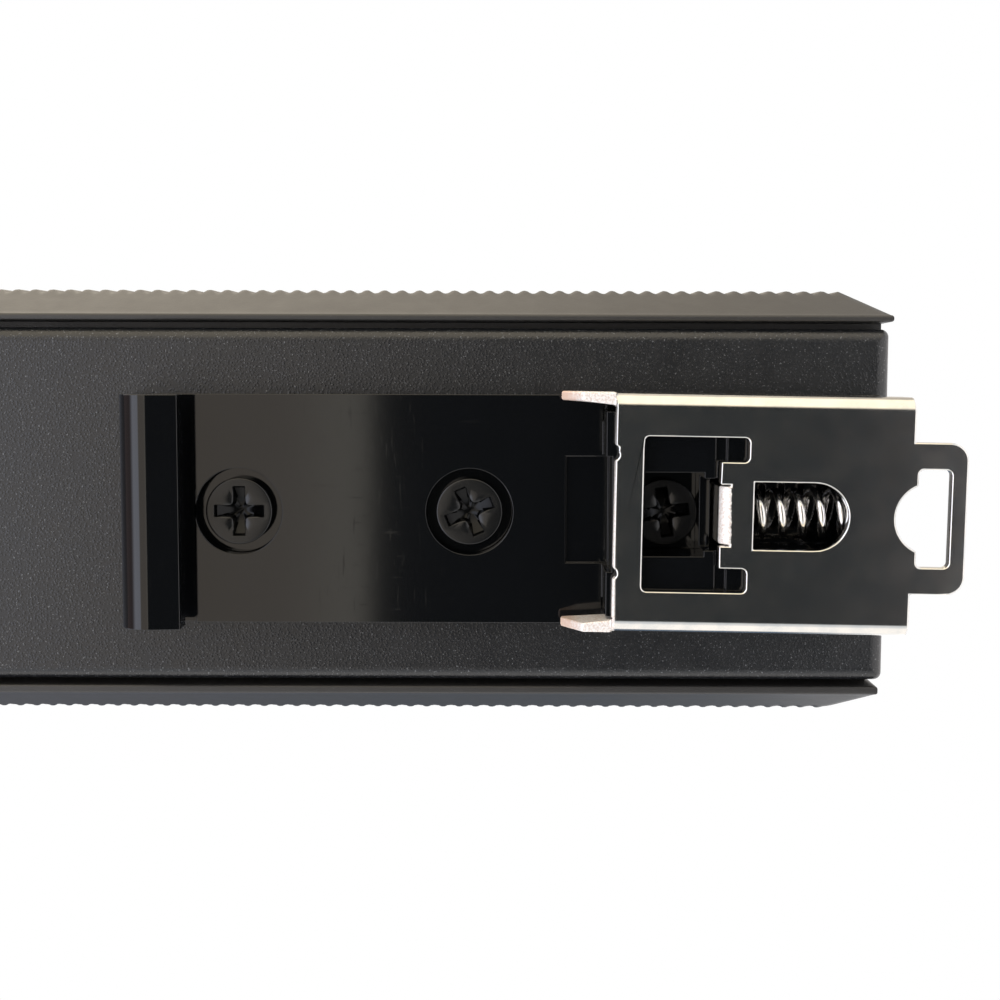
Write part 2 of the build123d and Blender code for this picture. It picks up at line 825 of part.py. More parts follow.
for number in (1, 2, 3):
    with BuildPart() as transformer:
        with BuildSketch(side(board_near)):
            with Locations((magnetic_y, chip_z + (number - 2) * magnetic_pitch)):
                Rectangle(magnetic_width, magnetic_length)
        extrude(amount=-magnetic_height)
        chamfer(transformer.faces().sort_by(Axis.X)[0].edges(), magnetic_height / 8)
    finish(transformer, f"transformer_{number}")

for number in (1, 2):
    with BuildPart() as capacitor:
        with BuildSketch(side(board_near)):
            with Locations((capacitor_y, case_top - capacitor_top_inset - (number - 1) * capacitor_pitch)):
                Circle(capacitor_radius)
        extrude(amount=-capacitor_length)
    finish(capacitor, f"input_capacitor_{number}")

for coil_name, size, height, y, z in (
    ("input_choke", choke_size, choke_height, choke_y, case_top - choke_top_inset),
    ("regulator_coil", coil_size, coil_height, coil_y, case_top - coil_top_inset),
):
    with BuildPart() as winding:
        with BuildSketch(side(board_near)):
            with Locations((y, z)):
                Rectangle(size, size)
        extrude(amount=-height)
        chamfer(winding.edges().filter_by(Axis.X), size / 8)
    finish(winding, coil_name)

# Power terminals that stand through the top end: housing, wire clamps and their screws
terminal_top = case_top + terminal_rise
terminal_mid_x = board_near - terminal_height / 2
wire_x = terminal_mid_x + terminal_height / 4
driver_x = terminal_mid_x - terminal_height / 4
terminal_places = [
    terminal_y + (index - (terminal_count - 1) / 2) * terminal_pitch for index in range(terminal_count)
]
with BuildPart() as terminal_block:
    with BuildSketch(Plane.XY.offset(terminal_top)):
        with Locations((terminal_mid_x, terminal_y)):
            Rectangle(terminal_height, terminal_width)
    extrude(amount=-terminal_body)
    chamfer(terminal_block.faces().sort_by(Axis.Z)[-1].edges(), terminal_margin)
    with BuildSketch(Plane.XY.offset(terminal_top)):
        with Locations(*[(wire_x, y) for y in terminal_places]):
            Rectangle(terminal_hole + 2 * clamp_wall, terminal_hole + 2 * clamp_wall)
        with Locations(*[(driver_x, y) for y in terminal_places]):
            Circle(terminal_screw_radius + fit_gap)
    extrude(amount=-terminal_hole_depth, mode=Mode.SUBTRACT)
finish(terminal_block, "terminal_block")

with BuildPart() as terminal_clamps:
    with BuildSketch(Plane.XY.offset(terminal_top - terminal_hole_depth)):
        with Locations(*[(wire_x, y) for y in terminal_places]):
            clamp_outside = terminal_hole + 2 * (clamp_wall - fit_gap)
            Rectangle(clamp_outside, clamp_outside)
            Rectangle(terminal_hole - fit_gap, terminal_hole - fit_gap, mode=Mode.SUBTRACT)
    extrude(amount=terminal_hole_depth - terminal_screw_sink)
finish(terminal_clamps, "terminal_clamps")

with BuildPart() as terminal_screws:
    for y in terminal_places:
        with BuildSketch(Plane.XY.offset(terminal_top - terminal_hole_depth)):
            with Locations((driver_x, y)):
                Circle(terminal_screw_radius)
        extrude(amount=terminal_hole_depth - terminal_screw_sink)
        with BuildSketch(Plane.XY.offset(terminal_top - terminal_screw_sink)):
            with Locations((driver_x, y)):
                Rectangle(2 * terminal_screw_radius, clamp_wall)
        extrude(amount=-terminal_screw_radius / 2, mode=Mode.SUBTRACT)
finish(terminal_screws, "terminal_screws")

# Ground screw on the top end
with BuildPart() as ground_screw:
    add_screw(Plane(origin=(0, ground_y, case_top)), sheet + screw_projection)
finish(ground_screw, "ground_screw")
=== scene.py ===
"""Looks of a compact network switch for a 35 mm mounting rail: pieces, finishes, light and camera.

X runs across the switch, Y from its ports towards the rail, and Z is up. Sizes are in millimetres
until a mesh is made, which is in metres.
"""

import json
import logging
from dataclasses import dataclass
from enum import Enum
from typing import Any, Callable

import bmesh
import bpy
import numpy as np
from mathutils import Matrix, Vector
from mathutils.bvhtree import BVHTree

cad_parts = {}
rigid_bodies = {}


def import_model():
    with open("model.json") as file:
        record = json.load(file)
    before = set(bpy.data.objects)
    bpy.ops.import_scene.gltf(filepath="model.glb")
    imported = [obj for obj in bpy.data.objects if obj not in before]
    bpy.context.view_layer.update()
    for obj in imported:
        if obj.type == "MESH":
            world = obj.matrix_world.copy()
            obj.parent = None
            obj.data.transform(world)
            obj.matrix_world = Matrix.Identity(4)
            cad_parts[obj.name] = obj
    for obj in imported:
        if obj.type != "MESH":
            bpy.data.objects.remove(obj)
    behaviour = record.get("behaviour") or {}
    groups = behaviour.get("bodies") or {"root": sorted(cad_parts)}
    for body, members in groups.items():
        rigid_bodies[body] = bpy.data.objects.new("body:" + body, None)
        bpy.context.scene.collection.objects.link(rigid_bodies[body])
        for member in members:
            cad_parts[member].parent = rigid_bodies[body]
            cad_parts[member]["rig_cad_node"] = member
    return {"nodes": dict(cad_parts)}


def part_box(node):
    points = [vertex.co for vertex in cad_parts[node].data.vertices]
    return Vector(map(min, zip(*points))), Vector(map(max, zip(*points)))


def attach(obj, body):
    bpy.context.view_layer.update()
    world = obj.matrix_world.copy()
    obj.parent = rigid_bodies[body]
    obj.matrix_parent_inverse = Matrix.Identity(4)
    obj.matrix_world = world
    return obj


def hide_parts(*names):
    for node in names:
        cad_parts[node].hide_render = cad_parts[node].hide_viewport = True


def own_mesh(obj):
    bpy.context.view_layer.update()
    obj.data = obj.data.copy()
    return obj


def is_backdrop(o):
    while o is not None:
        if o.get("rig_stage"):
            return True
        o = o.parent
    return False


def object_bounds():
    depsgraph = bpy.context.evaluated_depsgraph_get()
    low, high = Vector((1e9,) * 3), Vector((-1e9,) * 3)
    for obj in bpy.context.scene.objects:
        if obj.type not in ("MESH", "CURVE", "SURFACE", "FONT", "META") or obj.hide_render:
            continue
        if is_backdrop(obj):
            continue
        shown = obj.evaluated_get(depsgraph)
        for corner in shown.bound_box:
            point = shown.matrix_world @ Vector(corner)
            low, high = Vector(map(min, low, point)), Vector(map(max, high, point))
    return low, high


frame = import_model()

LOG = logging.getLogger("rail_switch")
MM = 0.001

# Merging distances in metres, and angles in degrees

MERGE_NEW = 1e-7
MERGE_COPY = 2e-6
FLAT_WITHIN = 0.6
ROUND_FROM = 35.0

# Types

Colour = tuple[float, float, float]
Point = tuple[float, float, float]
Span = tuple[float, float]
Zone = tuple[Span, Span, Span]
Pair = tuple[Colour, Colour]


# Shader nodes


class Signal:
    """A shader socket that takes part in sums: each operator adds one Math node."""

    def __init__(self, bench: "Bench", socket: bpy.types.NodeSocket) -> None:
        """Keep the socket and the bench whose tree it belongs to."""
        self.bench = bench
        self.socket = socket

    def _sum(self, operation: str, first: Any, second: Any) -> "Signal":
        """Add one Math node for two numbers or signals, and return its result."""
        return self.bench.add("ShaderNodeMath", {"operation": operation}, {0: first, 1: second})

    def __add__(self, other: Any) -> "Signal":
        """Return self + other."""
        return self._sum("ADD", self, other)

    def __sub__(self, other: Any) -> "Signal":
        """Return self - other."""
        return self._sum("SUBTRACT", self, other)

    def __rsub__(self, other: Any) -> "Signal":
        """Return other - self."""
        return self._sum("SUBTRACT", other, self)

    def __mul__(self, other: Any) -> "Signal":
        """Return self times other."""
        return self._sum("MULTIPLY", self, other)

    def __abs__(self) -> "Signal":
        """Return the size of self without its sign."""
        return self._sum("ABSOLUTE", self, 0.0)

    __radd__ = __add__
    __rmul__ = __mul__


class Bench:
    """Adds nodes to one shader tree."""

    def __init__(self, tree: bpy.types.NodeTree) -> None:
        """Start with an empty tree."""
        self.tree = tree
        tree.nodes.clear()

    def add(self, kind: str, settings: dict[str, Any], inputs: dict[Any, Any], output: Any = 0) -> Signal:
        """Add one node, with its settings first and then its inputs.

        Args:
            kind: the node's type name.
            settings: the node's own values, such as a Math node's operation.
            inputs: numbers, colours or signals by the name or number of the socket.
            output: the name or number of the socket to return.

        Returns:
            The chosen output as a signal.
        """
        node = self.tree.nodes.new(kind)
        for name, value in settings.items():
            setattr(node, name, value)
        for name, value in inputs.items():
            if isinstance(value, Signal):
                self.tree.links.new(value.socket, node.inputs[name])
            elif isinstance(value, tuple) and len(value) == 3 and node.inputs[name].type == "RGBA":
                node.inputs[name].default_value = (*value, 1.0)
            else:
                node.inputs[name].default_value = value
        if not node.outputs:
            return Signal(self, None)
        return Signal(self, node.outputs[output])

    def place(self) -> Signal:
        """Return the point's place on the object, in metres."""
        return self.add("ShaderNodeTexCoord", {}, {}, "Object")

    def parts(self, vector: Signal) -> tuple[Signal, Signal, Signal]:
        """Return a vector's x, y and z."""
        split = self.add("ShaderNodeSeparateXYZ", {}, {0: vector})
        return tuple(Signal(self, output) for output in split.socket.node.outputs)

    def stretch(self, vector: Signal, scale: Point) -> Signal:
        """Scale a vector along each axis."""
        return self.add("ShaderNodeVectorMath", {"operation": "MULTIPLY"}, {0: vector, 1: scale})

    def noise(self, vector: Signal, size: float, detail: float = 2.0, rough: float = 0.5) -> Signal:
        """Make soft noise.

        Args:
            vector: where the noise is read.
            size: the size of one patch, in millimetres.
            detail: how many finer layers it has.
            rough: how strong those layers are.

        Returns:
            A signal between 0 and 1.
        """
        values = {"Vector": vector, "Scale": 1.0 / (size * MM), "Detail": detail, "Roughness": rough}
        return self.add("ShaderNodeTexNoise", {}, values)

    def cells(self, vector: Signal, size: float, feature: str) -> Signal:
        """Return a distance in a pattern of cells, whose size is given in millimetres."""
        values = {"Vector": vector, "Scale": 1 / (size * MM)}
        return self.add("ShaderNodeTexVoronoi", {"feature": feature}, values)

    def step(self, value: Signal, low: float, high: float) -> Signal:
        """Rise smoothly from 0 where value is low to 1 where it is high."""
        settings = {"interpolation_type": "SMOOTHSTEP", "clamp": True}
        return self.add("ShaderNodeMapRange", settings, {"Value": value, "From Min": low, "From Max": high})

    def edge(self, length: Signal, at: float, blur: float) -> Signal:
        """Rise smoothly from 0 to 1 at a length, over the blur on either side of it, in millimetres."""
        return self.step(length, (at - blur) * MM, (at + blur) * MM)

    def mix(self, share: Any, first: Any, second: Any) -> Signal:
        """Mix two colours: a share of 0 gives the first one, and 1 the second one."""
        return self.add("ShaderNodeMix", {"data_type": "RGBA"}, {0: share, 6: first, 7: second}, 2)

    def bump(self, height: Signal, depth: float) -> Signal:
        """Turn a height signal into a normal, with depth in millimetres for a height of 1."""
        return self.add("ShaderNodeBump", {}, {"Height": height, "Strength": 1.0, "Distance": depth * MM})


# Finishes


@dataclass(frozen=True)
class Finish:
    """A finish with a grain, a slow change of tone and a roughness that varies. It may pass light."""

    slot: str
    colour: Colour
    roughness: float
    metallic: float = 0.0
    ior: float = 1.5
    grain: float = 0.4
    grain_detail: float = 2.0
    grain_rough: float = 0.5
    relief: float = 0.004
    tone_spread: float = 0.12
    tone_size: float = 4.0
    rough_spread: float = 0.08
    rough_size: float = 2.5
    passed: float = 0.0

    def tone(self, bench: Bench, place: Signal) -> Signal:
        """Return the colour over the surface: patches a little lighter and darker than the middle."""
        light = tuple(min(channel * (1 + self.tone_spread), 1.0) for channel in self.colour)
        dark = tuple(channel * (1 - self.tone_spread) for channel in self.colour)
        return bench.mix(bench.noise(place, self.tone_size, 4.0), dark, light)

    def sheen(self, bench: Bench, place: Signal) -> Signal:
        """Return the roughness over the surface: its own value, varied by noise."""
        varied = bench.noise(place, self.rough_size, 5.0, 0.6) * (2 * self.rough_spread)
        return varied + (self.roughness - self.rough_spread)

    def surface(self, bench: Bench, place: Signal) -> Signal:
        """Return the normal over the surface, from fine grain."""
        grain = bench.noise(place, self.grain, self.grain_detail, self.grain_rough)
        return bench.bump(grain, self.relief)

    def metal(self, bench: Bench, place: Signal) -> Any:
        """Return how metallic the surface is."""
        return self.metallic

    def material(self) -> bpy.types.Material:
        """Return the finish's material, made at its first use."""
        name = f"{self.slot}_finish"
        made = bpy.data.materials.get(name)
        if made is not None:
            return made
        made = bpy.data.materials.new(name)
        made.use_nodes = True
        bench = Bench(made.node_tree)
        place = bench.place()
        values = {
            "Base Color": self.tone(bench, place),
            "Roughness": self.sheen(bench, place),
            "Normal": self.surface(bench, place),
            "Metallic": self.metal(bench, place),
            "IOR": self.ior,
            "Transmission Weight": self.passed,
        }
        shader = bench.add("ShaderNodeBsdfPrincipled", {}, values)
        bench.add("ShaderNodeOutputMaterial", {}, {"Surface": shader})
        return made

    def dress(self, piece: bpy.types.Object) -> None:
        """Give the piece this finish in its material slots."""
        if not piece.material_slots:
            piece.data.materials.append(self.material())
        for place in piece.material_slots:
            place.material = self.material()
        "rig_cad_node" not in piece


@dataclass(frozen=True)
class PowderCoat(Finish):
    """Fine black powder coat: round beads on an orange peel, with a bright speck here and there."""

    speck: Colour = (0.1, 0.104, 0.108)
    speck_size: float = 0.16
    speck_share: float = 0.645
    speck_edge: float = 0.1
    bead_size: float = 0.22
    bead_span: Span = (0.1, 0.6)
    peel_ratio: float = 3.2
    peel_share: float = 0.6

    def tone(self, bench: Bench, place: Signal) -> Signal:
        """Return the colour: black, lighter on a few specks."""
        spots = bench.noise(place, self.speck_size, 1.0)
        flecks = bench.step(spots, self.speck_share, self.speck_share + self.speck_edge)
        return bench.mix(flecks, self.colour, self.speck)

    def surface(self, bench: Bench, place: Signal) -> Signal:
        """Return the normal of beads on a slow orange peel."""
        beads = 1.0 - bench.step(bench.cells(place, self.bead_size, "F1"), *self.bead_span)
        peel = bench.noise(place, self.grain * self.peel_ratio)
        return bench.bump(beads + peel * self.peel_share, self.relief)


@dataclass(frozen=True)
class GlossPlastic(Finish):
    """Polished mould plastic, nearly flat, with faint handling marks in its gloss."""

    grain_detail: float = 3.0
    grain_rough: float = 0.4
    mark_strength: float = 0.06
    long_stretch: Point = (1.0, 1.0, 14.0)
    long_span: Span = (0.62, 0.7)
    cross_stretch: Point = (12.0, 1.0, 1.4)
    cross_span: Span = (0.64, 0.72)

    def sheen(self, bench: Bench, place: Signal) -> Signal:
        """Return the roughness: low, and higher along faint long marks."""
        along = bench.noise(bench.stretch(place, self.long_stretch), 3.0, 3.0)
        across = bench.noise(bench.stretch(place, self.cross_stretch), 4.0, 3.0)
        marks = bench.step(along, *self.long_span) + bench.step(across, *self.cross_span)
        return marks * self.mark_strength + self.roughness


@dataclass(frozen=True)
class RecessShadedSteel(Finish):
    """Black screw finish with painted shade in the recess: it shines less there than on the head's face."""

    # Painted shade in the recess: where it starts below the head's face, its blur, and how much more
    # metallic it makes the dark steel
    face: float = -0.1
    shade_depth: float = 0.3
    shade_blur: float = 0.1
    metal_shift: float = 0.6

    def metal(self, bench: Bench, place: Signal) -> Signal:
        """Return how metallic the surface is: more below the face, as painted shade in the recess, where
        the dark steel reflects little.
        """
        # painted shade: the recess below the head's face reflects less than the face
        depth = self.face * MM - bench.parts(place)[1]
        return bench.edge(depth, self.shade_depth, self.shade_blur) * self.metal_shift


@dataclass(frozen=True)
class NickelPlate(Finish):
    """Bright nickel on sheet steel, pale and matt on the sheared prongs and on the tongue's bend.

    Copper shows in patches towards the prongs' noses.
    """

    stain: Colour = (0.63, 0.64, 0.63)
    stain_size: float = 2.2
    stain_span: Span = (0.35, 0.7)
    bare: Pair = ((0.95, 0.92, 0.89), (0.78, 0.69, 0.63))
    bare_size: float = 0.16
    bare_span: Span = (0.42, 0.62)
    copper: Colour = (0.78, 0.58, 0.47)
    copper_size: float = 0.45
    copper_reach: float = 2.6
    copper_start: float = -14.0
    copper_blur: float = 0.7
    dent_span: Span = (0.66, 0.8)
    dent_share: float = 0.3
    prong_start: float = -18.3
    tongue_half: float = 2.3
    tongue_bend: Span = (-27.0, -26.05)
    bend_blurs: Span = (0.06, 0.05)
    bend_floor: float = 4.4
    ragged: float = 0.3
    blur: float = 0.1
    matt: float = 0.35
    metal_shift: float = 0.6

    def sheared(self, bench: Bench, place: Signal) -> Signal:
        """Return 1 on the prongs and on the tongue's bend, and 0 elsewhere, with a ragged border."""
        x, y, z = bench.parts(place)
        ragged = (bench.noise(place, self.ragged) - 0.5) * (self.ragged * MM)
        prong = bench.edge(z, self.prong_start, self.blur)
        above = bench.edge(z + ragged, self.tongue_bend[0], self.bend_blurs[0])
        below = 1.0 - bench.edge(z, self.tongue_bend[1], self.bend_blurs[1])
        beside = 1.0 - bench.edge(abs(x) + ragged, self.tongue_half, self.blur)
        outer = bench.edge(y, self.bend_floor, self.blur)
        return prong + above * below * beside * outer

    def tone(self, bench: Bench, place: Signal) -> Signal:
        """Return the colour: nickel with cloudy stains, and copper in patches towards the prongs' noses."""
        stains = bench.step(bench.noise(place, self.stain_size, 5.0, 0.6), *self.stain_span)
        plate = bench.mix(stains, self.colour, self.stain)
        patches = bench.noise(place, self.copper_size, 3.0, 0.7) * (self.copper_reach * MM)
        warm = bench.edge(bench.parts(place)[2] + patches, self.copper_start, self.copper_blur)
        grains = bench.step(bench.noise(place, self.bare_size), *self.bare_span)
        cut = bench.mix(warm, bench.mix(grains, *self.bare), self.copper)
        return bench.mix(self.sheared(bench, place), plate, cut)

    def sheen(self, bench: Bench, place: Signal) -> Signal:
        """Return the roughness: low, and high where the sheet was sheared or stretched."""
        return Finish.sheen(self, bench, place) + self.sheared(bench, place) * self.matt

    def metal(self, bench: Bench, place: Signal) -> Signal:
        """Return how metallic the surface is: fully, and less where it was sheared or stretched."""
        return 1.0 - self.sheared(bench, place) * self.metal_shift

    def surface(self, bench: Bench, place: Signal) -> Signal:
        """Return the normal: small dents and slow waves from the sheet's bending."""
        dents = bench.step(bench.noise(place, self.grain), *self.dent_span)
        waves = bench.noise(place, self.tone_size, 3.0)
        return bench.bump(dents * self.dent_share + waves, self.relief)


@dataclass(frozen=True)
class BoardLaminate(Finish):
    """Green laminate with lighter copper tracks under the lacquer."""

    track: Colour = (0.03, 0.22, 0.09)
    track_pitch: float = 1 / 0.42
    track_span: Span = (0.05, 0.09)

    def tone(self, bench: Bench, place: Signal) -> Signal:
        """Return the colour: tracks where a cell pattern has its borders."""
        distance = bench.cells(place, self.track_pitch, "DISTANCE_TO_EDGE")
        return bench.mix(bench.step(distance, *self.track_span), self.track, self.colour)


class Finishes(Enum):
    """Every finish of the switch, by the record's slot."""

    CASE_PAINT = PowderCoat("case_paint", (0.0055, 0.0065, 0.008), 0.33, ior=1.6, relief=0.009)
    COVER_COAT = PowderCoat(
        "cover_coat", (0.022, 0.021, 0.0195), 0.42,
        ior=1.6, grain=0.2, relief=0.003, speck=(0.05, 0.048, 0.045), speck_share=0.7,
    )
    BRACKET_PLASTIC = GlossPlastic("bracket_plastic", (0.003, 0.0034, 0.004), 0.07, grain=4.0, relief=0.002)
    # the screws' recesses are darkened as painted shade
    BLACK_SCREW = RecessShadedSteel("black_screw", (0.004, 0.0043, 0.0046), 0.24, grain=0.3, relief=0.002)
    NICKEL_PLATE = NickelPlate("nickel_plate", (0.76, 0.74, 0.7), 0.13, 1.0, grain=0.5, rough_spread=0.04)
    SPRING_STEEL = Finish("spring_steel", (0.86, 0.84, 0.81), 0.16, 1.0, grain=0.3, relief=0.001)
    PANEL_PLASTIC = Finish("panel_plastic", (0.018, 0.018, 0.02), 0.46, grain=0.3, relief=0.006)
    TIN_PLATE = Finish("tin_plate", (0.62, 0.62, 0.61), 0.26, 1.0, grain=0.6, relief=0.003)
    INSERT_PLASTIC = Finish("insert_plastic", (0.014, 0.014, 0.015), 0.42, grain=0.3)
    CONTACT_GOLD = Finish("contact_gold", (0.83, 0.6, 0.24), 0.22, 1.0, grain=0.3, relief=0.001)
    BOARD_LAMINATE = BoardLaminate("board_laminate", (0.01, 0.11, 0.045), 0.35, grain=0.5, relief=0.003)
    CLEAR_PLASTIC = Finish("clear_plastic", (0.82, 0.86, 0.84), 0.2, grain=0.6, relief=0.002, passed=0.85)
    LIGHT_BODY = Finish("light_body", (0.62, 0.7, 0.58), 0.3, grain=0.3, relief=0.002)
    CHIP_BODY = Finish("chip_body", (0.02, 0.02, 0.021), 0.5, grain=0.2)
    CAPACITOR_SLEEVE = Finish("capacitor_sleeve", (0.03, 0.035, 0.07), 0.3, grain=0.6, relief=0.002)
    FERRITE = Finish("ferrite", (0.045, 0.045, 0.047), 0.6, grain=0.3, relief=0.01)
    TERMINAL_PLASTIC = Finish("terminal_plastic", (0.02, 0.15, 0.055), 0.42, grain=0.35)
    ZINC_PLATE = Finish("zinc_plate", (0.6, 0.61, 0.62), 0.28, 1.0, relief=0.003)


# Surfaces


@dataclass
class Shape:
    """A mesh in the making: points in millimetres, and faces by their point numbers."""

    points: np.ndarray
    faces: list[list[int]]

    def joined(self, other: "Shape") -> "Shape":
        """Return both shapes as one."""
        shift = len(self.points)
        moved = [[index + shift for index in face] for face in other.faces]
        return Shape(np.concatenate([self.points, other.points]), self.faces + moved)

    def piece(self, name: str, outward: bool = True) -> bpy.types.Object:
        """Make the piece, with its doubles merged and its faces pointing outwards.

        Args:
            name: the piece's name.
            outward: whether the faces still have to be turned outwards.

        Returns:
            The new object, at the origin.
        """
        mesh = bpy.data.meshes.new(name)
        mesh.from_pydata((self.points * MM).tolist(), [], self.faces)
        work = bmesh.new()
        work.from_mesh(mesh)
        bmesh.ops.remove_doubles(work, verts=work.verts, dist=MERGE_NEW)
        if outward:
            bmesh.ops.recalc_face_normals(work, faces=work.faces)
        work.to_mesh(mesh)
        work.free()
        return link(bpy.data.objects.new(name, mesh))


def link(piece: bpy.types.Object) -> bpy.types.Object:
    """Put the piece in the scene and return it."""
    bpy.context.scene.collection.objects.link(piece)
    return piece


def loft(rings: np.ndarray, start_cap: bool = True) -> Shape:
    """Join closed rings one after the other with four-sided faces, and close the last one.

    Args:
        rings: an array of rings, points and coordinates.
        start_cap: whether one face closes the first ring.

    Returns:
        The skin as a shape. Face (i, j) joins points j and j + 1 of rings i and i + 1.
    """
    count, around = rings.shape[:2]
    numbers = np.arange(count * around).reshape(count, around)
    ahead = np.roll(numbers, -1, axis=1)
    quads = np.stack([numbers[:-1], ahead[:-1], ahead[1:], numbers[1:]], axis=-1).reshape(-1, 4).tolist()
    if start_cap:
        quads.append(numbers[0, ::-1].tolist())
    quads.append(numbers[-1].tolist())
    return Shape(rings.reshape(-1, 3), quads)


def rounded_loop(
    half_width: np.ndarray, half_height: np.ndarray, radius: np.ndarray, steps: int
) -> np.ndarray:
    """Return rectangles with rounded corners, one for each entry.

    The points of corner k lie at its centre plus the radius times the direction of an angle that
    grows from 90 k to 90 k + 90 degrees.

    Args:
        half_width: half of each rectangle's first side.
        half_height: half of each rectangle's second side.
        radius: each rectangle's corner radius.
        steps: the points on one corner.

    Returns:
        An array of loops, points and two coordinates.
    """
    angles = np.add.outer(np.arange(4) * np.pi / 2, np.linspace(0, np.pi / 2, steps))
    signs_a = np.array([1, -1, -1, 1])[:, None]
    signs_b = np.array([1, 1, -1, -1])[:, None]
    wide = (half_width - radius)[:, None, None] * signs_a + radius[:, None, None] * np.cos(angles)
    high = (half_height - radius)[:, None, None] * signs_b + radius[:, None, None] * np.sin(angles)
    return np.stack([wide, high], axis=-1).reshape(len(radius), -1, 2)


def finish_mesh(piece: bpy.types.Object) -> None:
    """Apply the piece's modifiers."""
    bpy.context.view_layer.update()
    shown = piece.evaluated_get(bpy.context.evaluated_depsgraph_get())
    mesh = bpy.data.meshes.new_from_object(shown)
    piece.modifiers.clear()
    piece.data = mesh


def even_normals(piece: bpy.types.Object) -> bpy.types.Object:
    """Give each point the normal of the largest faces round it, so that flat faces look flat.

    A point's normal is the sum of its faces' normals, each times the square of the face's area in mm².

    Args:
        piece: a piece whose edges are all rounded.

    Returns:
        The piece, shaded smoothly.
    """
    mesh = piece.data
    mesh.shade_smooth()
    count, corners = len(mesh.polygons), len(mesh.loops)
    area, normal = np.empty(count), np.empty(count * 3)
    sides, owner = np.empty(count, int), np.empty(corners, int)
    mesh.polygons.foreach_get("area", area)
    mesh.polygons.foreach_get("normal", normal)
    mesh.polygons.foreach_get("loop_total", sides)
    mesh.loops.foreach_get("vertex_index", owner)
    weighted = np.repeat(normal.reshape(-1, 3) * (area[:, None] / MM**2) ** 2, sides, axis=0)
    total = np.zeros((len(mesh.vertices), 3))
    np.add.at(total, owner, weighted)
    tiny = 1e-30
    total /= np.linalg.norm(total, axis=1, keepdims=True) + tiny
    mesh.normals_split_custom_set_from_vertices(total.tolist())
    return piece


def soften(piece: bpy.types.Object, width: float) -> bpy.types.Object:
    """Round the piece's edges in two steps and even out its normals.

    A point that the rounding throws off the piece, at an edge shorter than its width, comes back to
    the nearest place on it.

    Args:
        piece: the piece, with its doubles merged.
        width: the width of the rounding, in millimetres.

    Returns:
        The piece with its final mesh.
    """
    coarse = BVHTree.FromObject(piece, bpy.context.evaluated_depsgraph_get())
    bevel = piece.modifiers.new("edges", "BEVEL")
    bevel.width = width * MM
    bevel.segments = 2
    bevel.limit_method = "ANGLE"
    bevel.angle_limit = np.radians(ROUND_FROM)
    bevel.use_clamp_overlap = False
    finish_mesh(piece)
    furthest = width * MM / 2
    for point in piece.data.vertices:
        nearest, _, _, distance = coarse.find_nearest(point.co)
        if distance > furthest:
            point.co = nearest
    return even_normals(piece)


def node_copy(
    node: str, name: str, width: float, form: Callable[[np.ndarray], np.ndarray] | None = None
) -> bpy.types.Object:
    """Copy a CAD node, join its loose triangles into flat faces and round its edges.

    Args:
        node: the CAD node's name.
        name: the new piece's name.
        width: the width of the rounding, in millimetres.
        form: moves the points, given and returned in millimetres, before the rounding.

    Returns:
        The new piece, which replaces the node.
    """
    mesh = frame["nodes"][node].data.copy()
    mesh.name = name
    mesh.materials.clear()
    work = bmesh.new()
    work.from_mesh(mesh)
    bmesh.ops.remove_doubles(work, verts=work.verts, dist=MERGE_COPY)
    if form is not None:
        places = form(np.array([point.co for point in work.verts]) / MM)
        for point, place in zip(work.verts, places):
            point.co = Vector(place) * MM
    bmesh.ops.dissolve_limit(work, angle_limit=np.radians(FLAT_WITHIN), verts=work.verts, edges=work.edges)
    work.to_mesh(mesh)
    work.free()
    piece = link(bpy.data.objects.new(name, mesh))
    soften(piece, width)
    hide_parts(node)
    return piece


def smooth_by_angle(piece: bpy.types.Object, angle: float = 32.0) -> bpy.types.Object:
    """Shade the piece smoothly, apart from edges sharper than the angle in degrees, and return it."""
    piece.data.shade_smooth()
    piece.data.set_sharp_from_angle(angle=np.radians(angle))
    return piece


def in_zone(points: np.ndarray, zone: Zone) -> np.ndarray:
    """Return which points lie between a zone's limits, given for the size of x, for y and for z."""
    low, high = np.array(zone).T
    folded = np.column_stack([np.abs(points[:, 0]), points[:, 1:]])
    return ((folded > low) & (folded < high)).all(axis=1)


def carve(piece: bpy.types.Object, boxes: list[tuple[Point, Point]]) -> bpy.types.Object:
    """Cut boxes out of the piece.

    Args:
        piece: a closed piece.
        boxes: the lowest and highest corner of each box, in millimetres.

    Returns:
        The piece with its final mesh.
    """
    for low, high in boxes:
        low, high = np.array(low), np.array(high)
        middle, half = (low + high) / 2, (high - low) / 2
        loop = rounded_loop(half[:1], half[1:2], np.array([0.0]), 1)[0]
        flat = np.column_stack([loop, np.zeros(len(loop))])
        rings = np.stack([middle + flat - [0, 0, half[2]], middle + flat + [0, 0, half[2]]])
        cutter = loft(rings).piece("cutter")
        cut = piece.modifiers.new("cut", "BOOLEAN")
        cut.operation = "DIFFERENCE"
        cut.solver = "EXACT"
        cut.object = cutter
        finish_mesh(piece)
        bpy.data.objects.remove(cutter)
    return piece


@dataclass(frozen=True)
class Stand:
    """A place for a turned part: its foot, the direction of its first cross arm, and its axis."""

    foot: Point
    across: Point
    axis: Point

    def world(self, local: np.ndarray) -> np.ndarray:
        """Return points given along across, beside and axis as points of the scene, in millimetres."""
        across, axis = np.array(self.across, float), np.array(self.axis, float)
        beside = np.cross(axis, across)
        return np.array(self.foot) + local @ np.stack([across, beside, axis])


def settle(piece: bpy.types.Object, finish: Finishes, node: str = "", body: str = "switch") -> None:
    """Let the piece replace a CAD node where one is named, dress it and let it ride on its body."""
    if node:
        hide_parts(node)
    finish.value.dress(piece)
    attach(piece, body)
    LOG.info("%s: %d faces, rides on %s", piece.name, len(piece.data.polygons), body)


def dress_nodes(finish: Finishes, *nodes: str) -> None:
    """Give CAD nodes that are shown as they are a finish."""
    for node in nodes:
        finish.value.dress(frame["nodes"][node])


# The pieces


